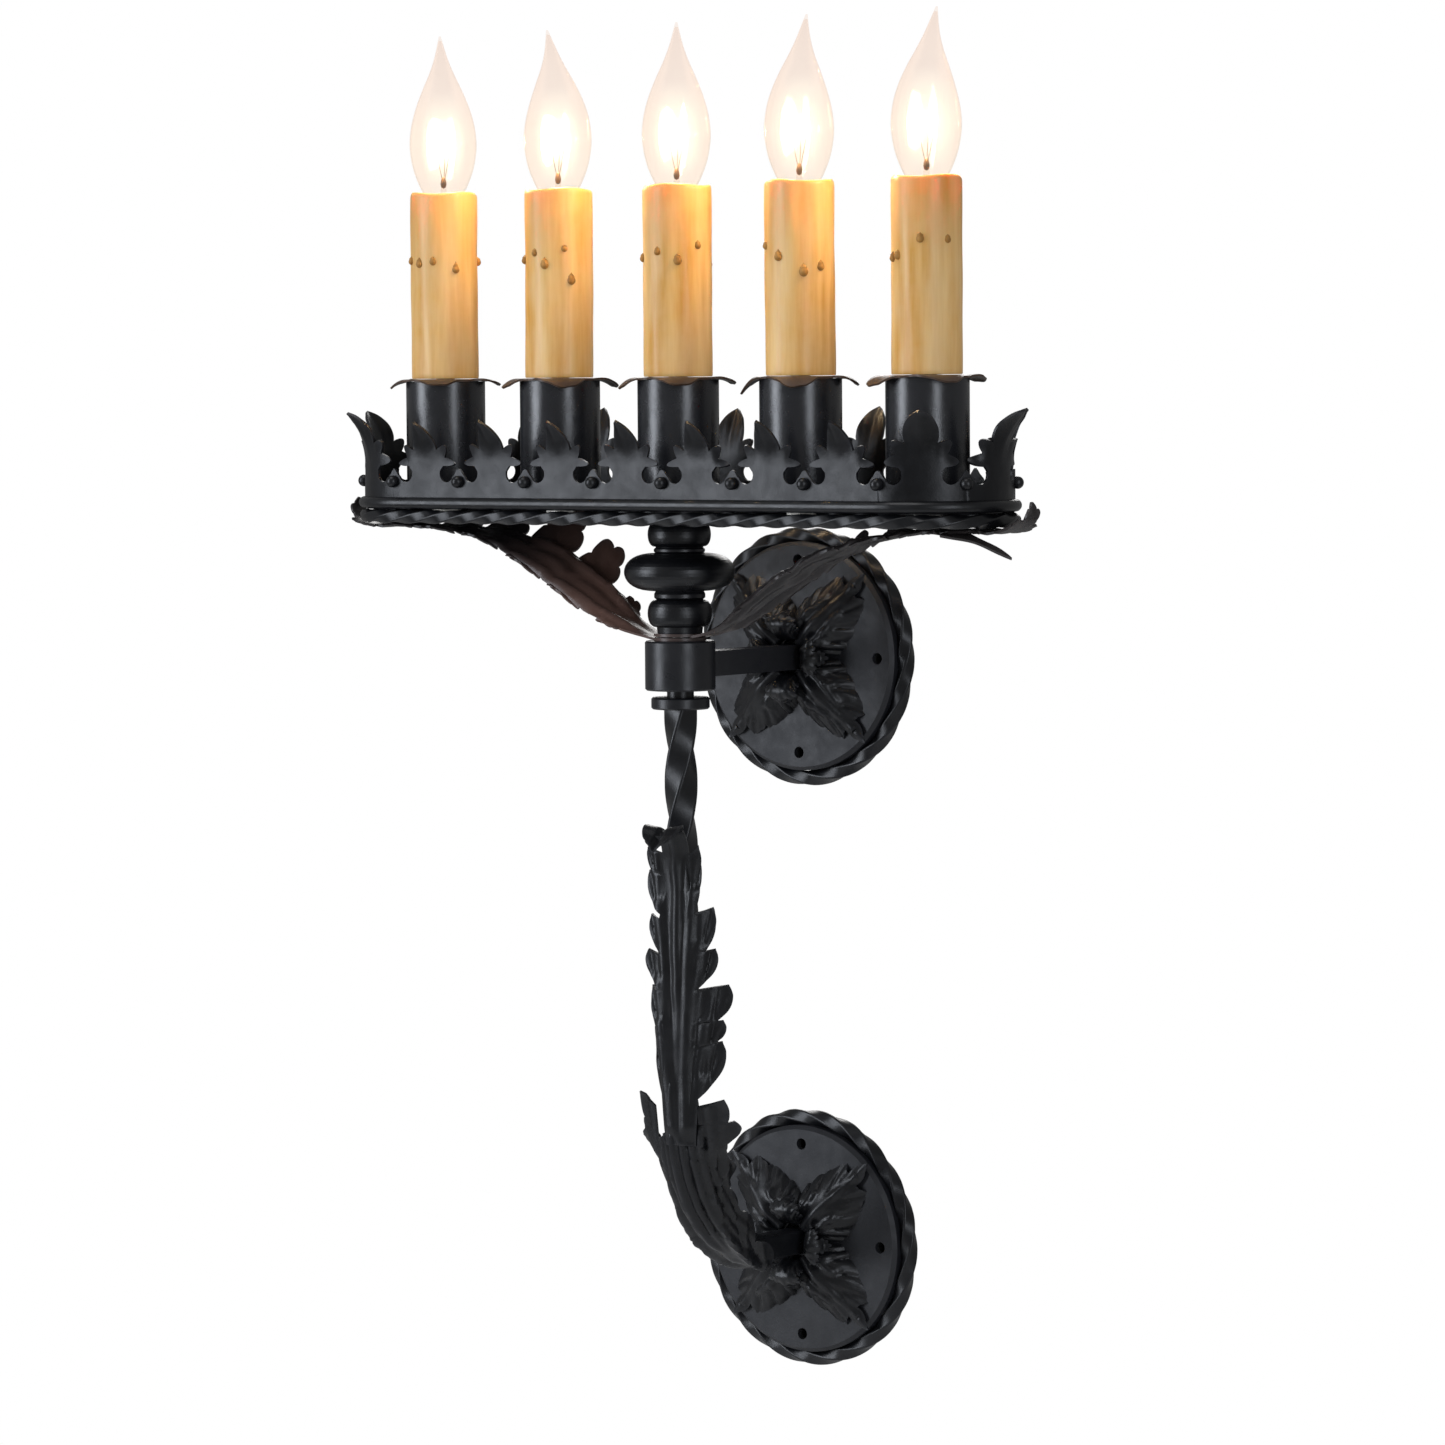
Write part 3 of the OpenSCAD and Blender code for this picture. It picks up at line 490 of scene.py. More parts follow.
class Acanthus:
    """A long leaf, flat: s runs along it and w across. Each lobe is (s, w, size, angle) on the side w > 0
    and is repeated on the other side, a little shifted."""

    def __init__(
        self, lobes, tip, strip, shift=0.0, vary=0.06, stretch=1.3, spread=44, dent=0.3, point=0.2
    ):
        self.lobes = []
        for side in (1, -1):
            for s, w, size, angle in lobes:
                more = 1 + vary * rng.uniform(-1, 1)
                move = (shift if side < 0 else 0) + 10 * vary * rng.uniform(-1, 1)
                toward = side * (angle + 60 * vary * rng.uniform(-1, 1))
                self.lobes.append((s + move, side * w * more, size * more, toward))
        self.tip = tip
        shape = (stretch, spread, dent, point)
        self.outlines = [fan_lobe((s, w), size, angle, *shape) for s, w, size, angle in self.lobes]
        if tip:
            self.outlines.append(fan_lobe((tip[0], 0), tip[1], 0, tip[2], spread, dent, point))
        strip = np.asarray(strip, float)
        smooth = curve_through(strip, 60)
        self.outlines.append(np.vstack([smooth, (smooth * [1, -1])[::-1]]))
        self.length = smooth[-1][0]

    def relief(self, s, w, rib=1.2, pipe=1.5, width=2.2, vein=0.8, dish=0.08):
        """Height of the worked surface: a midrib, pipes that run from the cuts between lobes down to the
        base, and a vein and ridges in each lobe."""
        h = rib * np.exp(-((w / (1.8 + 0.008 * (self.length - s))) ** 2))
        large = max(lobe[2] for lobe in self.lobes)
        for side in (1, -1):
            row = [lobe for lobe in self.lobes if lobe[1] * side > 0 and lobe[2] > 0.84 * large]
            for k, (ls, lw, size, angle) in enumerate(row):
                cut_s, cut_w = ls - 0.9 * size, 0.72 * abs(lw)
                run = np.clip(s / max(cut_s, 8), 0, 1)
                path = 2.6 + 1.9 * k + (cut_w - 2.6 - 1.9 * k) * run**1.6
                fade = smooth_step(s, -1, 8) * (1 - smooth_step(s, cut_s, cut_s + 5))
                h = h + pipe * fade * np.exp(-(((w * side - path) / (width * (0.5 + 0.5 * run))) ** 2))
        for ls, lw, size, angle in self.lobes:
            c, d = math.cos(math.radians(angle)), math.sin(math.radians(angle))
            x, y = (s - ls) * c + (w - lw) * d, -(s - ls) * d + (w - lw) * c
            near = smooth_step(size * 1.9 - np.hypot(x * 0.7, y * 1.2), 0, 0.7 * size)
            spread = np.clip((x + 1.1 * size) / (2.2 * size), 0, 1.3)
            h = h - near * vein * np.exp(-((y / 1.1) ** 2)) - near * dish * size * (y / size) ** 2
            for turn in (-1, 1):
                h = h + near * 0.5 * vein * np.exp(-(((y - turn * 0.55 * size * spread) / 1.3) ** 2))
        return h


def leaf_piece(leaf, spine, step, thick, wrap, lift):
    """Bends a flat leaf along a spine. wrap(s) is the radius it is rolled to across, down at the edges if
    positive, and lift(s, w) an extra height."""
    flat, triangles = flat_union(leaf.outlines, step)
    s, w = flat.T
    radius = wrap(s)
    turn = np.clip(w / radius, -2.6, 2.6)
    spot, up = spine.at(s)
    h = lift(s, w)
    across = (radius + h) * np.sin(turn)
    rise = (radius + h) * np.cos(turn) - radius
    mid = spot + spine.side * across[:, None] + up * rise[:, None]
    return thickened(mid, triangles, thick)


def arm_leaf(direction):
    """The long leaf from the column to one end of the tray, cupped upward."""
    under = ROPE_LO[2] - 0.9
    start = 13.2 if direction < 0 else 14.8
    path = [(12, start), (26, 17.5), (44, 28), (64, 41), (86, 53.5), (112, 63), (142, under - 1)]
    path += [(174, under), (193, under - 0.5), (203, under + 1), (210, under + 4.5), (213, under + 9)]
    path.append((213, under + 13))
    spine = Spine([(direction * x, POST_Y, z) for x, z in path], (0, direction, 0))
    lobes = [(27, 9, 7, 42), (58, 14.5, 12, 50), (89, 16, 13, 52), (121, 15, 12, 46)]
    lobes += [(150, 13.5, 11, 40), (177, 11, 9, 34), (201, 8, 7, 24)]
    strip = [(-1, 6.5), (20, 10), (50, 12.5), (90, 13), (140, 12), (180, 9.5), (204, 8), (215, 5)]
    tip = (213, 6.5, 1.3)
    leaf = Acanthus(lobes, tip, strip, shift=4, vary=0.05, stretch=1.15, spread=60, dent=0.22, point=0.1)

    def lift(s, w):
        near = -direction * w
        end = 1 - smooth_step(s, 140, 185)
        curl = 0.05 * np.clip(-near - 10, 0, None) ** 1.9 * (0.1 + 0.9 * end)
        hang = 0.008 * np.clip(near, 0, 13) ** 2 * end
        tilt = 0.36 if direction < 0 else -0.16
        hang = hang + tilt * np.clip(near, -22, 14) * smooth_step(s, 10, 45) * (1 - smooth_step(s, 75, 135))
        return smooth_step(s, 0, 14) * (leaf.relief(s, w, 0.8, 0.9, 2.6, 0.5) + curl - hang)

    flat, triangles = flat_union(leaf.outlines, 1.7)
    s, w = flat.T
    spot, up = spine.at(s)
    near = -direction * w
    width = -direction * np.where(near > 11, 11 + 0.12 * (near - 11), near)
    mid = spot + spine.side * (0.97 * width)[:, None] + up * lift(s, w)[:, None]
    low = mid[:, 2] < start
    close = np.hypot(mid[:, 0], mid[:, 1] - POST_Y) < 17.5
    mid[low & close, 2] = start
    sheet = thickened(mid, triangles, 1.3)
    foot = box("left_leaf_arm" if direction < 0 else "right_leaf_arm")[0][2]
    ring = [(5.4, foot), (13.2, foot), (13.2, foot + 1.5), (5.4, foot + 1.5)]
    collar = lathe(ring, 48, (0, POST_Y, 0))
    if direction < 0:
        return joined([sheet, collar])
    return joined([sheet, collar, drooping_spike(under)])


def drooping_spike(under):
    """The long thin lobe that hangs below the tray's right end."""
    count = 24
    t = np.linspace(0, 1, count)
    spot = np.column_stack([168 + 40 * t, POST_Y - 9 - 2 * t, under - 1 - 12 * t**1.6])
    half = 4.2 * (1 - t) ** 0.7 * (1 + 0.25 * np.sin(9 * t)) + 0.15
    rows = [spot + np.column_stack([0 * t, side * half, 0.35 * side * half]) for side in (-1, 0, 1)]
    triangles = []
    for j in range(2):
        for k in range(count - 1):
            a, d = j * count + k, (j + 1) * count + k
            triangles += [(a, a + 1, d + 1), (a, d + 1, d)]
    return thickened(np.vstack(rows), np.array(triangles), 1.3)


def ring_faces(rows, count, closed=False):
    """Faces between rows of count points each, every row a closed ring."""
    faces = []
    for i in range(rows if closed else rows - 1):
        j = (i + 1) % rows
        for k in range(count):
            m = (k + 1) % count
            faces.append([i * count + k, i * count + m, j * count + m, j * count + k])
    return faces


def end_faces(rows, count):
    """Faces that close the first and the last of such rows."""
    return [list(range(count))[::-1], [(rows - 1) * count + k for k in range(count)]]


def lathe(profile, count, centre, closed=True, bend=None):
    """A profile of (radius, height) turned about the vertical; a closed profile makes a ring."""
    angle = np.linspace(0, 2 * math.pi, count, endpoint=False)
    points = []
    for r, z in profile:
        ring = np.stack([r * np.cos(angle), r * np.sin(angle), np.full(count, z)], 1)
        points.append(ring + np.asarray(centre))
    points = np.vstack(points)
    if bend is not None:
        points = points + bend(points)
    return points, ring_faces(len(profile), count, closed)


for name, direction in (("left_leaf_arm", -1), ("right_leaf_arm", 1)):
    points, faces = arm_leaf(direction)
    # The leaves' warm brown coat is painted candle light
    add_piece(f"{name}_leaf", points, faces, iron_painted_glow, replaces=[name])


def build_post_leaf():
    path = [(-9.6, -240), (-10.6, -212), (-12, -185), (-12.6, -150), (-12.6, -122), (-12.8, -104)]
    path += [(-14.5, -92), (-20, -83), (-29, -80), (-36, -84)]
    spine = Spine([(0, POST_Y + y, z) for y, z in path], (-1, 0, 0))
    strip = [(-2, 8), (20, 9.5), (50, 10.5), (80, 10.5), (110, 9), (140, 7.5), (165, 6.5), (176, 2.5)]
    leaf = Acanthus([], (170, 10, 1.4), strip, stretch=1.55, spread=90, dent=0.08, point=0.22)
    # Each lobe: side, where it starts and ends along the leaf, how far it reaches, and its share of relief
    steps = [(-1, 108, 150, 13, 9), (-1, 86, 119, 20, 9), (-1, 74, 98, 21, 7), (-1, 50, 80, 27.5, 9)]
    steps += [(-1, 42, 62, 24.5, 7), (-1, 18, 51, 24, 9), (1, 128, 148, 17.5, 7), (1, 112, 137, 17.5, 9)]
    steps += [(1, 92, 115, 16.5, 7), (1, 74, 97, 19, 9), (1, 48, 79, 16, 9), (1, 14, 58, 13.5, 7)]
    for side, low, top, reach, size in steps:
        leaf.outlines.append(ledge_lobe(low, top, 8.5, reach) * [1, side])
        leaf.lobes.append((low + 0.62 * (top - low), side * (4 + 0.55 * reach), size, side * 13))

    def lift(s, w):
        side = np.abs(w)
        h = leaf.relief(s, w, 1.8, 1.9, 2.9, 0.8, 0.06)
        return h + 0.02 * np.clip(side - 14, 0, None) ** 2

    points, faces = leaf_piece(leaf, spine, 1.1, 1.2, lambda s: np.full(len(s), 38.0), lift)
    aside, turn = 2.3, math.radians(15)
    points[:, 0] += aside
    x, y = points[:, 0].copy(), points[:, 1] - POST_Y
    points[:, 0] = x * math.cos(turn) - y * math.sin(turn)
    points[:, 1] = x * math.sin(turn) + y * math.cos(turn) + POST_Y
    add_piece("post_leaf_acanthus", points, faces, iron_sheet, replaces=["post_leaf"])


build_post_leaf()


def build_bend_leaf():
    centre_y, centre_z = POST_Y + BEND_R, LOWER_Z + BEND_R
    path = []
    for a in (82, 70, 56, 42, 28, 14, 2):
        r = BEND_R + 10.2
        path.append((centre_y - r * math.cos(math.radians(a)), centre_z - r * math.sin(math.radians(a))))
    path += [(POST_Y - 12.5, centre_z + 9), (POST_Y - 17.5, centre_z + 17), (POST_Y - 24, centre_z + 22)]
    spine = Spine([(0, y, z) for y, z in path], (-1, 0, 0))
    lobes = [(12, 10, 9, 22), (36, 14, 10.5, 24), (60, 17, 10.5, 22), (82, 18, 10, 18), (103, 17, 9, 8)]
    strip = [(-4, 8), (20, 12), (60, 15), (98, 16), (112, 10), (117, 3)]
    leaf = Acanthus(lobes, None, strip, shift=3, vary=0.06, stretch=1.5, spread=90, dent=0.08, point=0.35)
    leaf.outlines += [ledge_lobe(106, 132, 15, 26) * [1, -1], ledge_lobe(100, 122, 14, 29) * [1, -1]]
    leaf.outlines.append(ledge_lobe(106, 134, 16, 20.5))

    def lift(s, w):
        side = np.abs(w)
        h = leaf.relief(s, w, 1.4, 1.8, 2.1, 0.9)
        flare = smooth_step(s, 92, 124) * 0.24 * np.clip(side - 12, 0, None) ** 1.3
        ribs = 0.8 * np.cos(w * 1.25) * smooth_step(s, 30, 60)
        return h + ribs + 0.02 * np.clip(side - 14, 0, None) ** 2 + flare

    points, faces = leaf_piece(leaf, spine, 1.3, 1.2, lambda s: 13 + 9 * smooth_step(s, 70, 122), lift)
    add_piece("bend_leaf_acanthus", points, faces, iron_sheet, replaces=["bend_leaf"])


build_bend_leaf()


def build_rosette(name, node, z):
    parts = []
    face = -PLATE_DEPTH
    for k in range(4):
        a = math.radians(45 + 90 * k)
        out, side = np.array([math.cos(a), 0, math.sin(a)]), np.array([-math.sin(a), 0, math.cos(a)])
        path = [(11, 8.5), (17, 11), (24, 11.5), (32, 9.5), (41, 6), (50, 2.6), (56, 1.4)]
        spine = Spine([out * r + (0, face - h, z) for r, h in path], side)
        lobes = [(6, 13, 7.5, 52), (15, 15, 7.5, 44), (24, 11.5, 7.5, 34), (33, 6.5, 6.5, 22)]
        strip = [(-1, 10), (7, 15), (17, 14.5), (29, 8.5), (44, 2)]
        leaf = Acanthus(lobes, (41, 4.0, 2.4), strip, vary=0.07, stretch=1.35, spread=72, dent=0.14)

        def lift(s, w, leaf=leaf):
            return leaf.relief(s, w, 1.5, 1.5, 1.7, 0.8) - 0.02 * w**2

        points, faces = leaf_piece(leaf, spine, 1.1, 1.1, lambda s: np.full(len(s), 60.0), lift)
        points[:, 1] = np.minimum(points[:, 1], face + 0.8)
        parts.append((points, faces))
    for k in range(4):
        a = math.radians(90 * k)
        out, side = np.array([math.cos(a), 0, math.sin(a)]), np.array([-math.sin(a), 0, math.cos(a)])
        path = [(9.6, 0.5), (9.8, 6), (10.6, 11), (13, 15.5), (17.5, 18), (21, 16), (22, 13)]
        spine = Spine([out * r + (0, face - h, z) for r, h in path], side)
        lobes = [(14, 6, 4.4, 36), (22, 5.5, 4, 26)]
        strip = [(-1, 6), (8, 6.5), (18, 6), (29, 2)]
        leaf = Acanthus(lobes, (28, 4, 1.3), strip, vary=0.07, spread=40)

        def curl(s, w, leaf=leaf):
            return leaf.relief(s, w, 0.7, 0.8, 1.4, 0.5)

        parts.append(leaf_piece(leaf, spine, 1.0, 1.0, lambda s: 11 + 16 * smooth_step(s, 8, 26), curl))
    collar = [(13.0, 0.2), (14.6, 0.2), (14.6, 2), (13.2, 3.4), (10.2, 3.6), (9.6, 3.2), (9.6, 0.2)]
    points, faces = lathe([(r, h) for r, h in collar], 64, (0, 0, 0))
    points = np.stack([points[:, 0], face - points[:, 2], z + points[:, 1]], 1)
    parts.append((points, [f[::-1] for f in faces]))
    points, faces = joined(parts)
    add_piece(name, points, faces, iron_sheet, replaces=[node])


build_rosette("upper_rosette_leaves", "upper_rosette", 0)
build_rosette("lower_rosette_leaves", "lower_rosette", LOWER_Z)


def build_hole_shade_plugs(name, z):
    """Black plugs pressed in behind the screw holes of a plate: painted shade standing in for the dark wall
    seen through the holes.
    """
    parts = []
    for k in range(4):
        a = math.radians(90 * k)
        profile = [(2.7, 0), (4.6, 0), (4.6, 7.5), (0.3, 7.5), (0.3, 6.5), (2.7, 6.5)]
        points, faces = lathe(profile, 28, (0, 0, 0))
        reach = SCREW_CIRCLE_R
        spot = np.array([reach * math.cos(a), -PLATE_DEPTH + 2.1, z + reach * math.sin(a)])
        parts.append((np.stack([points[:, 0], points[:, 2], points[:, 1]], 1) + spot, faces))
    points, faces = joined(parts)
    # Painted shade: the plugs close the holes with dark where the shadowed wall would show
    add_piece(name, points, faces, insulation, sharp=40)


build_hole_shade_plugs("upper_plate_hole_shade_plugs", 0)
build_hole_shade_plugs("lower_plate_hole_shade_plugs", LOWER_Z)

# ---- Twisted bars ----


def rounded_square(width, corner=0.16, per_corner=4):
    """Section of a square bar with worn corners."""
    half, r = width / 2, corner * width
    section = []
    for k in range(4):
        cx, cy = (half - r) * (1, -1, -1, 1)[k], (half - r) * (1, 1, -1, -1)[k]
        for i in range(per_corner):
            a = math.radians(90 * k + 90 * i / (per_corner - 1))
            section.append((cx + r * math.cos(a), cy + r * math.sin(a)))
    return np.array(section)


def twisted_bar(points, side, up, turns, width, closed, corner=0.16):
    """A square bar along points; side and up span each section, turned by the angle in degrees."""
    section = rounded_square(width, corner)
    n, m = len(points), len(section)
    rings = []
    for p, a, b, turn in zip(points, side, up, turns):
        c, s = math.cos(math.radians(turn)), math.sin(math.radians(turn))
        x, y = section[:, 0] * c - section[:, 1] * s, section[:, 0] * s + section[:, 1] * c
        rings.append(p + x[:, None] * a + y[:, None] * b)
    faces = ring_faces(n, m, closed)
    if not closed:
        faces += end_faces(n, m)
    return np.vstack(rings), faces


def build_rope_rim(name, node, z):
    lo, hi = box(node)
    reach = (hi[0] - lo[0]) / 2
    width = (hi[1] - lo[1]) / math.sqrt(2)
    r, y = reach - width / math.sqrt(2) - 0.4, (lo[1] + hi[1]) / 2 - 1
    width *= 1.12
    n = 320
    angle = np.linspace(0, 2 * math.pi, n, endpoint=False)
    out = np.stack([np.cos(angle), 0 * angle, np.sin(angle)], 1)
    wobble = 0.25 * np.sin(3 * angle + z) + 0.2 * np.sin(7 * angle)
    points = out * (r + wobble)[:, None] + (0, y, z)
    up = np.tile([0.0, 1.0, 0.0], (n, 1))
    turns = 90 * 20 * np.arange(n) / n
    p, f = twisted_bar(points, out, up, turns, width, True)
    add_piece(name, p, f, iron_rope, replaces=[node])


build_rope_rim("upper_rope_rim_twist", "upper_rope_rim", 0)
build_rope_rim("lower_rope_rim_twist", "lower_rope_rim", LOWER_Z)


def around_tray(distance, radius):
    """Points (x, y) and outward directions at distances along the tray's outline of that radius."""
    side, arc = 2 * TRAY_HALF, math.pi * radius
    d = np.mod(distance, 2 * (side + arc))
    far = d >= side + arc
    d = np.where(far, d - side - arc, d)
    a = np.clip((d - side) / radius, 0, math.pi)
    x = np.where(d < side, d - TRAY_HALF, TRAY_HALF + radius * np.sin(a))
    y = np.where(d < side, -radius, -radius * np.cos(a))
    out_x, out_y = np.where(d < side, 0, np.sin(a)), np.where(d < side, -1.0, -np.cos(a))
    flip = np.where(far, -1.0, 1.0)
    return np.stack([x * flip, y * flip], 1), np.stack([out_x * flip, out_y * flip], 1)


def build_tray_rope():
    width = (ROPE_HI[2] - ROPE_LO[2]) / math.sqrt(2)
    radius = (ROPE_HI[1] - ROPE_LO[1]) / 2 - width / math.sqrt(2)
    length = 4 * TRAY_HALF + 2 * math.pi * radius
    facets = 4 * round(length / 16.8 / 4)
    n = facets * 16
    spot, out = around_tray(length * np.arange(n) / n, radius)
    z = (ROPE_LO[2] + ROPE_HI[2]) / 2
    points = np.column_stack([spot[:, 0], spot[:, 1] + POST_Y, np.full(n, z)])
    side = np.column_stack([out, np.zeros(n)])
    up = np.tile([0.0, 0.0, 1.0], (n, 1))
    p, f = twisted_bar(points, side, up, 90 * facets * np.arange(n) / n, width, True)
    add_piece("tray_rope_twist", p, f, iron_rope, replaces=["tray_rope"])


build_tray_rope()


def build_post():
    top, bend_top, full_turn = POST_HI[2], LOWER_Z + BEND_R, -540.0
    straight = top - bend_top
    n = 170
    z = np.linspace(top, bend_top, n)
    a = np.radians(np.linspace(0, 90, 61)[1:])
    bend = np.column_stack([0 * a, POST_Y + BEND_R * (1 - np.cos(a)), bend_top - BEND_R * np.sin(a)])
    bar = np.column_stack([np.zeros(n), np.full(n, POST_Y), z])
    line = np.vstack([bar, bend, [[0, POST_HI[1], LOWER_Z]]])
    side = np.tile([1.0, 0, 0], (len(line), 1))
    across_bend = np.column_stack([0 * a, np.cos(a), np.sin(a)])
    up = np.vstack([np.tile([0, 1.0, 0], (n, 1)), across_bend, [[0, 0, 1.0]]])
    turns = np.append(full_turn * (top - z) / straight, np.full(len(line) - n, full_turn))
    p, f = twisted_bar(line, side, up, turns, POST_W, False, 0.12)
    f = [q[::-1] for q in f]
    add_piece("twisted_post_bar", p, f, iron, replaces=["twisted_post"])


build_post()

# ---- Crown ----


def petal_chain(notches, bulges, count=9):
    """A line through notch points, bulging to the right of its direction between each two."""
    line = []
    for a, b, bulge in zip(notches[:-1], notches[1:], bulges):
        a, b = np.asarray(a, float), np.asarray(b, float)
        d = b - a
        right = np.array([d[1], -d[0]]) / np.linalg.norm(d)
        t = np.linspace(0, 1, count, endpoint=False)
        line.append(a + t[:, None] * d + (bulge * np.sin(math.pi * t) ** 0.75)[:, None] * right)
    line.append(np.asarray(notches[-1], float)[None])
    return np.vstack(line)


def merlon_outline(pitch, low, tall, swell):
    """One leaf of the crown with the band below it, from bead to bead; swell is how full its tip is."""
    half = pitch / 2
    slot_x, slot_r, slot_z = half - 8.1, 4.5, BEAD_Z + 4.2
    right = [(half, low), (half, BEAD_Z + 6.6), (half - 1.2, BEAD_Z + 6.0), (half - 3.0, BEAD_Z + 3.4)]
    for degrees in range(-20, -201, -20):
        a = math.radians(degrees)
        right.append((slot_x + slot_r * math.cos(a), slot_z + slot_r * math.sin(a)))
    lift = tall - 128.5
    notches = [(9.3, 98.0), (11.4, 100.6), (12.2, 107.2 + 0.4 * lift), (7.6, 112.6 + 0.7 * lift)]
    chain = petal_chain(notches, [0, 6.8, 5.6])
    tip = petal_chain([(7.6, 112.6 + 0.7 * lift), (0, tall + 2.5)], [swell], 14)[1:]
    right = np.vstack([np.array(right), chain, tip])
    left = (right * [-1, 1])[::-1][1:]
    return np.vstack([right, left])


# How far the leaves roll outward, in degrees: front side, right end, back side, left end
CROWN_ROLL = [50, 42, 30, 42]


def build_crown():
    low, high = BAND_LO[2], BAND_HI[2]
    side_pitch, end_pitch = 2 * TRAY_HALF / 7, math.pi * BAND_R / 3
    start, parts = 0.0, []
    for k in range(20):
        pitch = side_pitch if k % 10 < 7 else end_pitch
        drop, swell = (5, 1.4) if k < 7 else (0, 3.4)
        outline = merlon_outline(pitch, low, high - drop + rng.uniform(-1.2, 0.4), swell)
        outline[:, 0] += 0.35 * rng.uniform(-1, 1) * smooth_step(outline[:, 1], 100, 112)
        flat, triangles = flat_union([outline], 1.6)
        x, z = flat.T
        lean = rng.uniform(-1, 1) * 0.8
        skew = rng.uniform(-1, 1)
        up = smooth_step(z, BEAD_Z + 8, high)
        roll = math.radians(CROWN_ROLL[k // 10 * 2 + (k % 10 >= 7)] + 4 * rng.uniform(-1, 1))
        bent = np.clip((z - 101.5) / 27, 0, 1.2) * roll
        flare = 27 / roll * (1 - np.cos(bent))
        height = np.where(z > 101.5, 101.5 + 27 / roll * np.sin(bent), z)
        folds = np.abs(np.abs(x) - 5.6 - 0.1 * (z - 100))
        relief = 1.5 * np.exp(-((x / 2.0) ** 2)) * up
        relief = relief - 1.1 * np.exp(-((folds / 1.7) ** 2)) * up
        edge = np.clip(np.abs(x) - 9, 0, None)
        curl = (0.9 + 1.1 * skew * np.sign(x)) * 0.08 * edge**1.7 * smooth_step(z, 99, 106)
        out = flare * (1 + 0.06 * lean) + relief - curl * (0.6 + 0.5 * lean)
        distance = start + pitch / 2 + x
        spot, normal = around_tray(distance, BAND_R - 0.8)
        level = spot + normal * out[:, None]
        mid = np.column_stack([level[:, 0], level[:, 1] + POST_Y, height])
        parts.append(thickened(mid, triangles, 1.4))
        start += pitch * (1 if k % 10 < 7 else (BAND_R - 0.8) / BAND_R)
    points, faces = joined(parts)
    add_piece("crown_leaves", points, faces, iron_crown, sharp=50, replaces=["crown_band"])


build_crown()

# ---- Drip plates ----

DROOPS = [(3.0, 22, 0.6), (3.8, 38, 0.4), (3.4, 30, 0.6), (4.4, 24, 1.3), (3.2, 48, 0.6)]


def build_bobeche(i):
    lo, hi = box(f"bobeche_{i}")
    centre = (lo + hi) / 2
    droop, turn, tilt = DROOPS[i - 1]
    radii = np.concatenate([[4.9, 8, 12, 16, 19], np.linspace(20.5, 29.5, 13)])
    count = 144
    angle = np.linspace(0, 2 * math.pi, count, endpoint=False)
    a = angle - math.radians(turn)
    edge = 26.6 + 3.0 * np.cos(4 * a) - 0.9 * np.abs(np.sin(8 * a)) ** 3 + 0.5 * np.sin(3 * a + turn)
    rows = []
    for r in radii:
        reach = np.where(r < 20, r, 20 + (r - 20) * (edge - 20) / 9.5)
        t = np.clip((reach - 20.8) / 8, 0, 1.2)
        z = 2.2 * np.cos(4 * a + 0.9) * t**1.5 - droop * t**2 * (1 + np.cos(4 * a)) * 0.6
        z = z - tilt * 2.2 * t**2 * np.clip(np.cos(a - 2.6), 0, 1) + 0.35 * np.cos(12 * a) * t
        x, y = centre[0] + reach * np.cos(angle), centre[1] + reach * np.sin(angle)
        rows.append(np.column_stack([x, y, centre[2] + z]))
    quads = ring_faces(len(radii), count)
    triangles = [t for p, q, r, s in quads for t in ((p, s, r), (p, r, q))]
    points, faces = thickened(np.vstack(rows), np.array(triangles), 1.0)
    node = f"bobeche_{i}"
    # The brown of the drip plates is painted candle light
    add_piece(f"{node}_ruffled", points, faces, iron_sheet_painted_glow, "frame", 50, (node,))


for i in range(1, 6):
    build_bobeche(i)

# ---- Candles ----

# Each drip: direction round the candle in degrees, depth below the top, width and tail length. The last
# drip of each candle is in a row of its own.
DRIPS = [
    [(-128, 35.5, 1.5, 9), (-98, 37, 1.7, 12), (-70, 36, 1.6, 10), (-30, 40, 1.7, 14), (40, 36, 1.6, 9)],
    [(-135, 36.5, 1.6, 10), (-96, 33, 1.5, 9), (-76, 39, 1.9, 13), (-42, 31, 1.4, 7), (-30, 47, 1.9, 14)],
    [(-132, 37, 1.6, 10), (-88, 34, 1.5, 9), (-52, 38.5, 1.9, 13), (-16, 31, 1.5, 9), (60, 40, 1.6, 12)],
    [(-128, 32.5, 1.5, 8), (-92, 38, 1.8, 12), (-48, 45.5, 2.0, 15), (-18, 43, 1.7, 12), (75, 36, 1.6, 10)],
    [(-126, 40, 1.6, 11), (-110, 39, 1.6, 10), (-66, 31, 1.7, 10), (-20, 31.5, 1.5, 9), (62, 38, 1.6, 12)],
]
REAR_DRIPS = [(130, 39, 1.7, 12), (70, 38, 1.6, 10), (150, 35, 1.6, 9), (160, 40, 1.6, 10)]
REAR_DRIPS.append((165, 42, 1.6, 9))


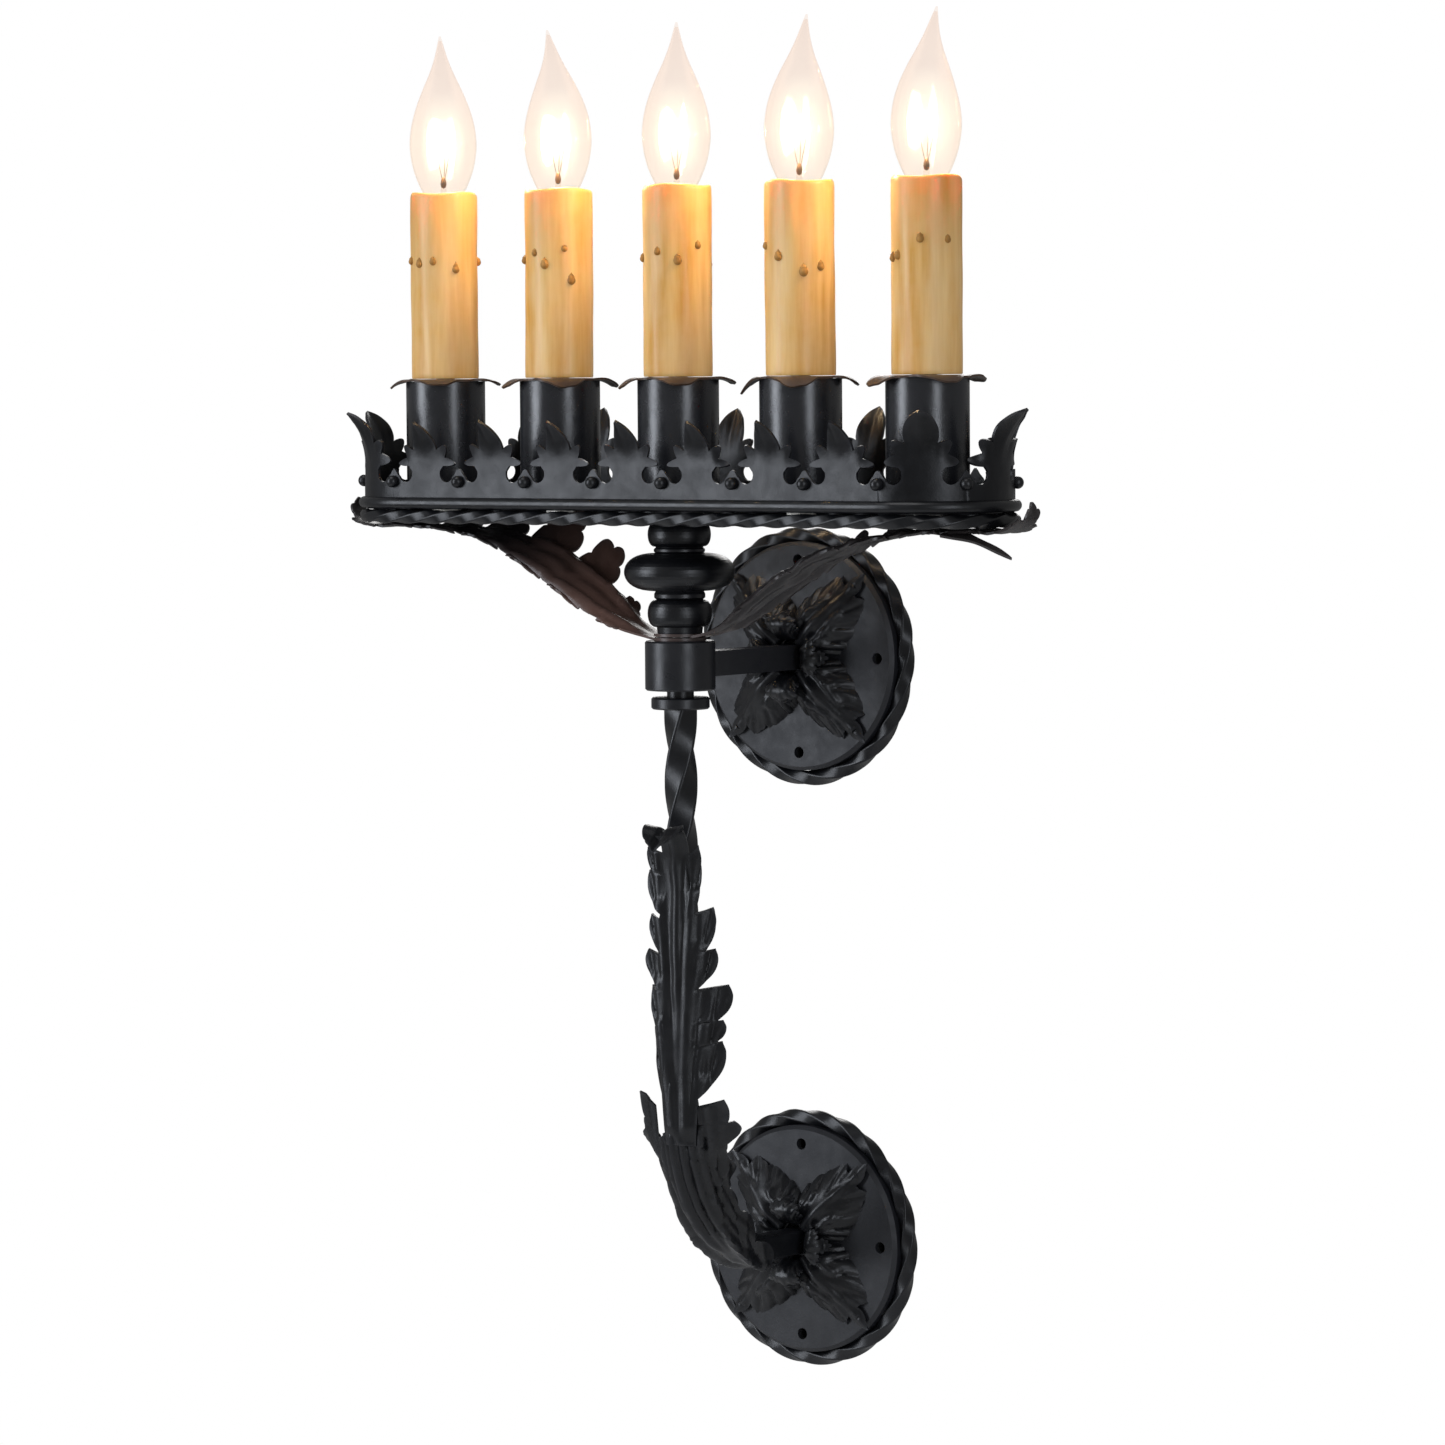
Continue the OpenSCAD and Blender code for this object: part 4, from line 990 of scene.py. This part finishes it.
def build_candle(i):
    lo, hi = box(f"candle_cover_{i}")
    centre, r = (lo + hi) / 2, (hi[0] - lo[0]) / 2
    seed = 1.7 * i
    profile = [(r - 1.9, lo[2]), (r - 0.3, lo[2])]
    profile += [(r, z) for z in np.linspace(lo[2] + 0.6, hi[2] - 3, 40)]
    lip = [(0.05, 2), (0.2, 1.2), (0.45, 0.6), (0.8, 0.2), (1.15, 0.05), (1.5, 0.25), (1.85, 0.9)]
    lip.append((1.9, 12))
    profile += [(r - inset, hi[2] - drop) for inset, drop in lip]

    def worn(points):
        x, y, z = points[:, 0] - centre[0], points[:, 1] - centre[1], points[:, 2]
        a = np.arctan2(y, x)
        wave = 0.16 * np.sin(5 * a + seed + z / 31) + 0.1 * np.sin(9 * a - seed + z / 17)
        wave = wave + 0.08 * np.sin(z / 6 + 2 * a)
        sunk = 0.5 * smooth_step(z, hi[2] - 4, hi[2]) * (np.sin(3 * a + seed) - 0.6)
        d = np.hypot(x, y) + 1e-9
        hold = np.where(d > r - 1, 1.0, 0.0)
        return np.column_stack([(wave - 0.2) * hold * x / d, (wave - 0.2) * hold * y / d, sunk])

    points, faces = lathe(profile, 96, (centre[0], centre[1], 0), True, worn)
    body = f"cover_{i}"
    add_piece(f"candle_cover_{i}_wax", points, faces, wax, body, 60, (f"candle_cover_{i}",))
    parts = []
    for turn, depth, wide, tail in [*DRIPS[i - 1], REAR_DRIPS[i - 1]]:
        wide, tail = 1.15 * wide, 0.32 * tail
        a = math.radians(turn)
        out, side = np.array([math.cos(a), math.sin(a), 0]), np.array([-math.sin(a), math.cos(a), 0])
        foot = np.array([centre[0], centre[1], hi[2] - depth]) + out * (r - 0.25)
        t = np.linspace(0, 1, 22)
        bead, neck = t / 0.42, (t - 0.42) / 0.58
        height = np.where(bead < 1, -wide * np.cos(math.pi * bead), wide + (tail - wide) * neck)
        swell, taper = np.sin(math.pi * np.clip(bead, 0, 0.72)), 0.77 * np.clip(1 - neck, 0, 1) ** 1.15
        girth = np.maximum(wide * np.where(bead < 1, swell, taper), 0.04)
        count = 18
        b = np.linspace(0, 2 * math.pi, count, endpoint=False)
        rings = []
        for h, g in zip(height, girth):
            round_it = np.outer(g * np.sin(b), side) + np.outer(0.95 * g * np.cos(b), out)
            rings.append(foot + (0, 0, h) + round_it)
        parts.append((np.vstack(rings), ring_faces(len(t), count) + end_faces(len(t), count)))
    points, faces = joined(parts)
    add_piece(f"candle_cover_{i}_drips", points, faces, drip_wax, body, 80)


for i in range(1, 6):
    build_candle(i)

# ---- Bulbs ----

# How far each flame tip leans: along x and along y, in millimetres
LEANS = [(-1.6, 0), (-7.5, 1), (0.6, 0), (6.0, -1), (7.5, -1)]
FLAME = [(0.38, 0), (0.5, 4), (0.68, 9), (0.86, 17), (0.97, 26), (1, 34), (0.94, 43), (0.8, 52), (0.6, 61)]
FLAME += [(0.4, 69), (0.25, 76), (0.15, 82), (0.09, 86), (0.05, 88.6)]


def build_bulb(i):
    lo, hi = box(f"bulb_glass_{i}")
    centre, r = (lo + hi) / 2, (hi[0] - lo[0]) / 2
    outline = curve_through([(p * r, z) for p, z in FLAME], 70)
    lean_x, lean_y = LEANS[i - 1]

    def lean(points):
        t = np.clip((points[:, 2] - lo[2] - 44) / 46, 0, 1)
        x, y = points[:, 0] - centre[0], points[:, 1] - centre[1]
        a = np.arctan2(y, x)
        flute = 0.035 * np.cos(6 * a + 1.5) * smooth_step(points[:, 2], lo[2] + 6, lo[2] + 24)
        flute = flute * (1 - smooth_step(points[:, 2], lo[2] + 58, lo[2] + 80))
        bend = t**1.8
        return np.column_stack([lean_x * bend + flute * x, lean_y * bend + flute * y, 0 * t])

    wall = 0.7
    inner = [(max(p - wall, 0.25), z) for p, z in outline if z < 86.5]
    profile = [(max(p - 0.35, 0.2), z + lo[2]) for p, z in outline]
    profile += [(p, z + lo[2]) for p, z in inner[::-1]]
    points, faces = lathe(profile, 72, (centre[0], centre[1], 0), False, lean)
    top, n = len(outline), 72
    faces = [f for f in faces if not (f[0] // n == top - 1)]
    faces.append([(top - 1) * n + k for k in range(n)][::-1])
    faces.append([top * n + k for k in range(n)])
    last = len(profile) - 1
    faces += [[last * n + k, last * n + (k + 1) % n, (k + 1) % n, k] for k in range(n)]
    faces = [f[::-1] for f in faces]
    body, node = f"bulb_{i}", f"bulb_glass_{i}"
    add_piece(f"{node}_flame", points, faces, glass, body, 80, (node,))
    x, y, z = centre[0], centre[1], lo[2]
    mount = [(0.1, 0.5), (3.2, 0.5), (2.2, 4), (1.5, 9), (1.3, 12), (0.1, 12.6)]
    points, faces = lathe([(q, z + h) for q, h in mount], 32, (x, y, 0), False)
    add_piece(f"bulb_{i}_mount", points, faces, glass, body, 60)
    bead = [(0.1, 10.2), (1.1, 10.8), (1.6, 12.4), (1.3, 14.4), (0.6, 16.0), (0.1, 16.4)]
    parts = [lathe([(q, z + h) for q, h in bead], 24, (x, y, 0), False)]
    wires = [[(-0.9, 0, 15), (-3.4, 0, 25), (-4.6, 0, 33)], [(0.9, 0, 15), (3.4, 0, 25), (4.6, 0, 33)]]
    wires.append([(0, 0.5, 16), (0, 1.4, 27), (0, 2.2, 38)])
    for line in wires:
        parts.append(tube(curve_through([(x + a, y + b, z + c) for a, b, c in line], 12), 0.18, 8))
    points, faces = joined(parts)
    add_piece(f"bulb_{i}_support", points, faces, support, body, 60)
    coil = []
    for t in np.linspace(0, 1, 90):
        a = 2 * math.pi * 11 * t
        along = math.radians(180 * t)
        over = math.sin(along)
        loop = (-4.6 * math.cos(along) + 0.5 * math.cos(a), 0.5 * math.sin(a) + 2.2 * over, 33 + 5 * over)
        coil.append((x + loop[0], y + loop[1], z + loop[2]))
    points, faces = tube(np.array(coil), 0.22, 6)
    add_piece(f"bulb_{i}_filament", points, faces, glow, body, 80)


def tube(line, radius, count):
    """A round wire along a line of points."""
    tangent = np.gradient(line, axis=0)
    tangent /= np.linalg.norm(tangent, axis=1)[:, None]
    first = np.cross(tangent, (0.3, 0.2, 0.93))
    first /= np.linalg.norm(first, axis=1)[:, None]
    second = np.cross(tangent, first)
    b = np.linspace(0, 2 * math.pi, count, endpoint=False)
    rings = []
    for p, u, v in zip(line, first, second):
        rings.append(p + radius * (np.outer(np.cos(b), u) + np.outer(np.sin(b), v)))
    return np.vstack(rings), ring_faces(len(line), count) + end_faces(len(line), count)


for i in range(1, 6):
    build_bulb(i)

# ---- Finishes of the CAD nodes ----

# A node takes the finish of the longest key that its name holds, and plain iron if there is none
FINISHES = {
    "backplate": iron_plate, "nipple": zinc, "hub_set_screw": iron_rope, "column_nipple": zinc,
    "tray_floor": iron_plate, "crown_beads": iron_rope, "socket_stems": zinc, "lock_nuts": zinc,
    "wiring": insulation, "cup_": iron_cup, "socket": phenolic, "bulb_base": brass,
}
for name, node in frame["nodes"].items():
    matches = sorted((key for key in FINISHES if key in name), key=len)
    finish = FINISHES[matches[-1]] if matches else iron
    if not node.material_slots:
        node.data.materials.append(finish)
    for material_slot in node.material_slots:
        material_slot.link = "OBJECT"
        material_slot.material = finish

# ---- Light and camera ----


def soft_light(name, place, aim, wide, tall, power, colour):
    data = bpy.data.lights.new(name, "AREA")
    data.shape = "RECTANGLE"
    data.size, data.size_y = wide, tall
    data.energy = power
    data.color = colour
    lamp = placed(name, data)
    lamp.location = place
    lamp.rotation_euler = (Vector(aim) - Vector(place)).to_track_quat("-Z", "Y").to_euler()


soft_light("key", (-1.6, -2.2, 0.45), (0, -0.1, 0), 1.0, 2.2, 42, (0.86, 0.91, 1.0))
soft_light("fill", (2.35, -1.35, 0.35), (0, -0.1, 0), 0.6, 2.0, 17, (0.86, 0.91, 1.0))
soft_light("top", (-0.2, -0.9, 2.4), (0, -0.1, 0), 1.6, 1.2, 14, (0.96, 0.97, 1.0))
soft_light("rear", (-1.4, 2.2, 1.2), (0, -0.1, 0), 1.2, 1.2, 18, (1.0, 0.99, 0.98))
for i, spot in enumerate(CANDLES, 1):
    lo, hi = box(f"bulb_glass_{i}")
    data = bpy.data.lights.new(f"bulb_light_{i}", "POINT")
    data.energy = 0.42
    data.color = (1.0, 0.72, 0.42)
    data.shadow_soft_size = 0.006
    lamp = placed(f"bulb_light_{i}", data)
    lamp.location = (spot[0] * MM, spot[1] * MM, (lo[2] + 34) * MM)
    lamp.parent = frame["bodies"][f"bulb_{i}"]

# The room is white to the camera and dimmer as a light, so that the lamps shape the iron
world = bpy.data.worlds.new("studio")
scene.world = world
world.use_nodes = True
tree = world.node_tree
background = tree.nodes["Background"]
rays = tree.nodes.new("ShaderNodeLightPath")
room = tree.nodes.new("ShaderNodeMapRange")
room.inputs["To Min"].default_value = 0.2
room.inputs["To Max"].default_value = 1.0
tree.links.new(rays.outputs["Is Camera Ray"], room.inputs["Value"])
tree.links.new(room.outputs["Result"], background.inputs["Strength"])
background.inputs["Color"].default_value = (1.0, 1.0, 1.0, 1)

floor_r, count = 0.95, 96
angles = [2 * math.pi * k / count for k in range(count)]
ring = [(floor_r * math.cos(a), floor_r * math.sin(a), 0) for a in angles]
floor_mesh = bpy.data.meshes.new("floor")
floor_mesh.from_pydata(ring, [], [list(range(count))])
floor = placed("floor", floor_mesh)
floor.location = (0, -0.1, (box("lower_rope_rim")[0][2] - 250) * MM)
floor_look = Shader("pale_floor")
pale = floor_look.blend(floor_look.noise(3, 3), (0.8, 0.8, 0.8), (0.84, 0.84, 0.84))
floor_look.surface({"Base Color": pale, "Roughness": 0.9})
floor_mesh.materials.append(floor_look.mat)

camera_data = bpy.data.cameras.new("camera")
camera_data.lens = 129.96
camera_data.sensor_width = 36
camera_data.clip_start, camera_data.clip_end = 0.05, 50
camera = placed("camera", camera_data)
camera.location = (1.5930, -2.1991, 0.1379)
aim = Vector((-0.5995, 0.7979, -0.0635)).to_track_quat("-Z", "Y")
camera.rotation_euler = (aim @ Quaternion((0, 0, 1), math.radians(-0.4))).to_euler()
scene.camera = camera
scene.view_settings.view_transform = "Standard"
scene.view_settings.look = "None"
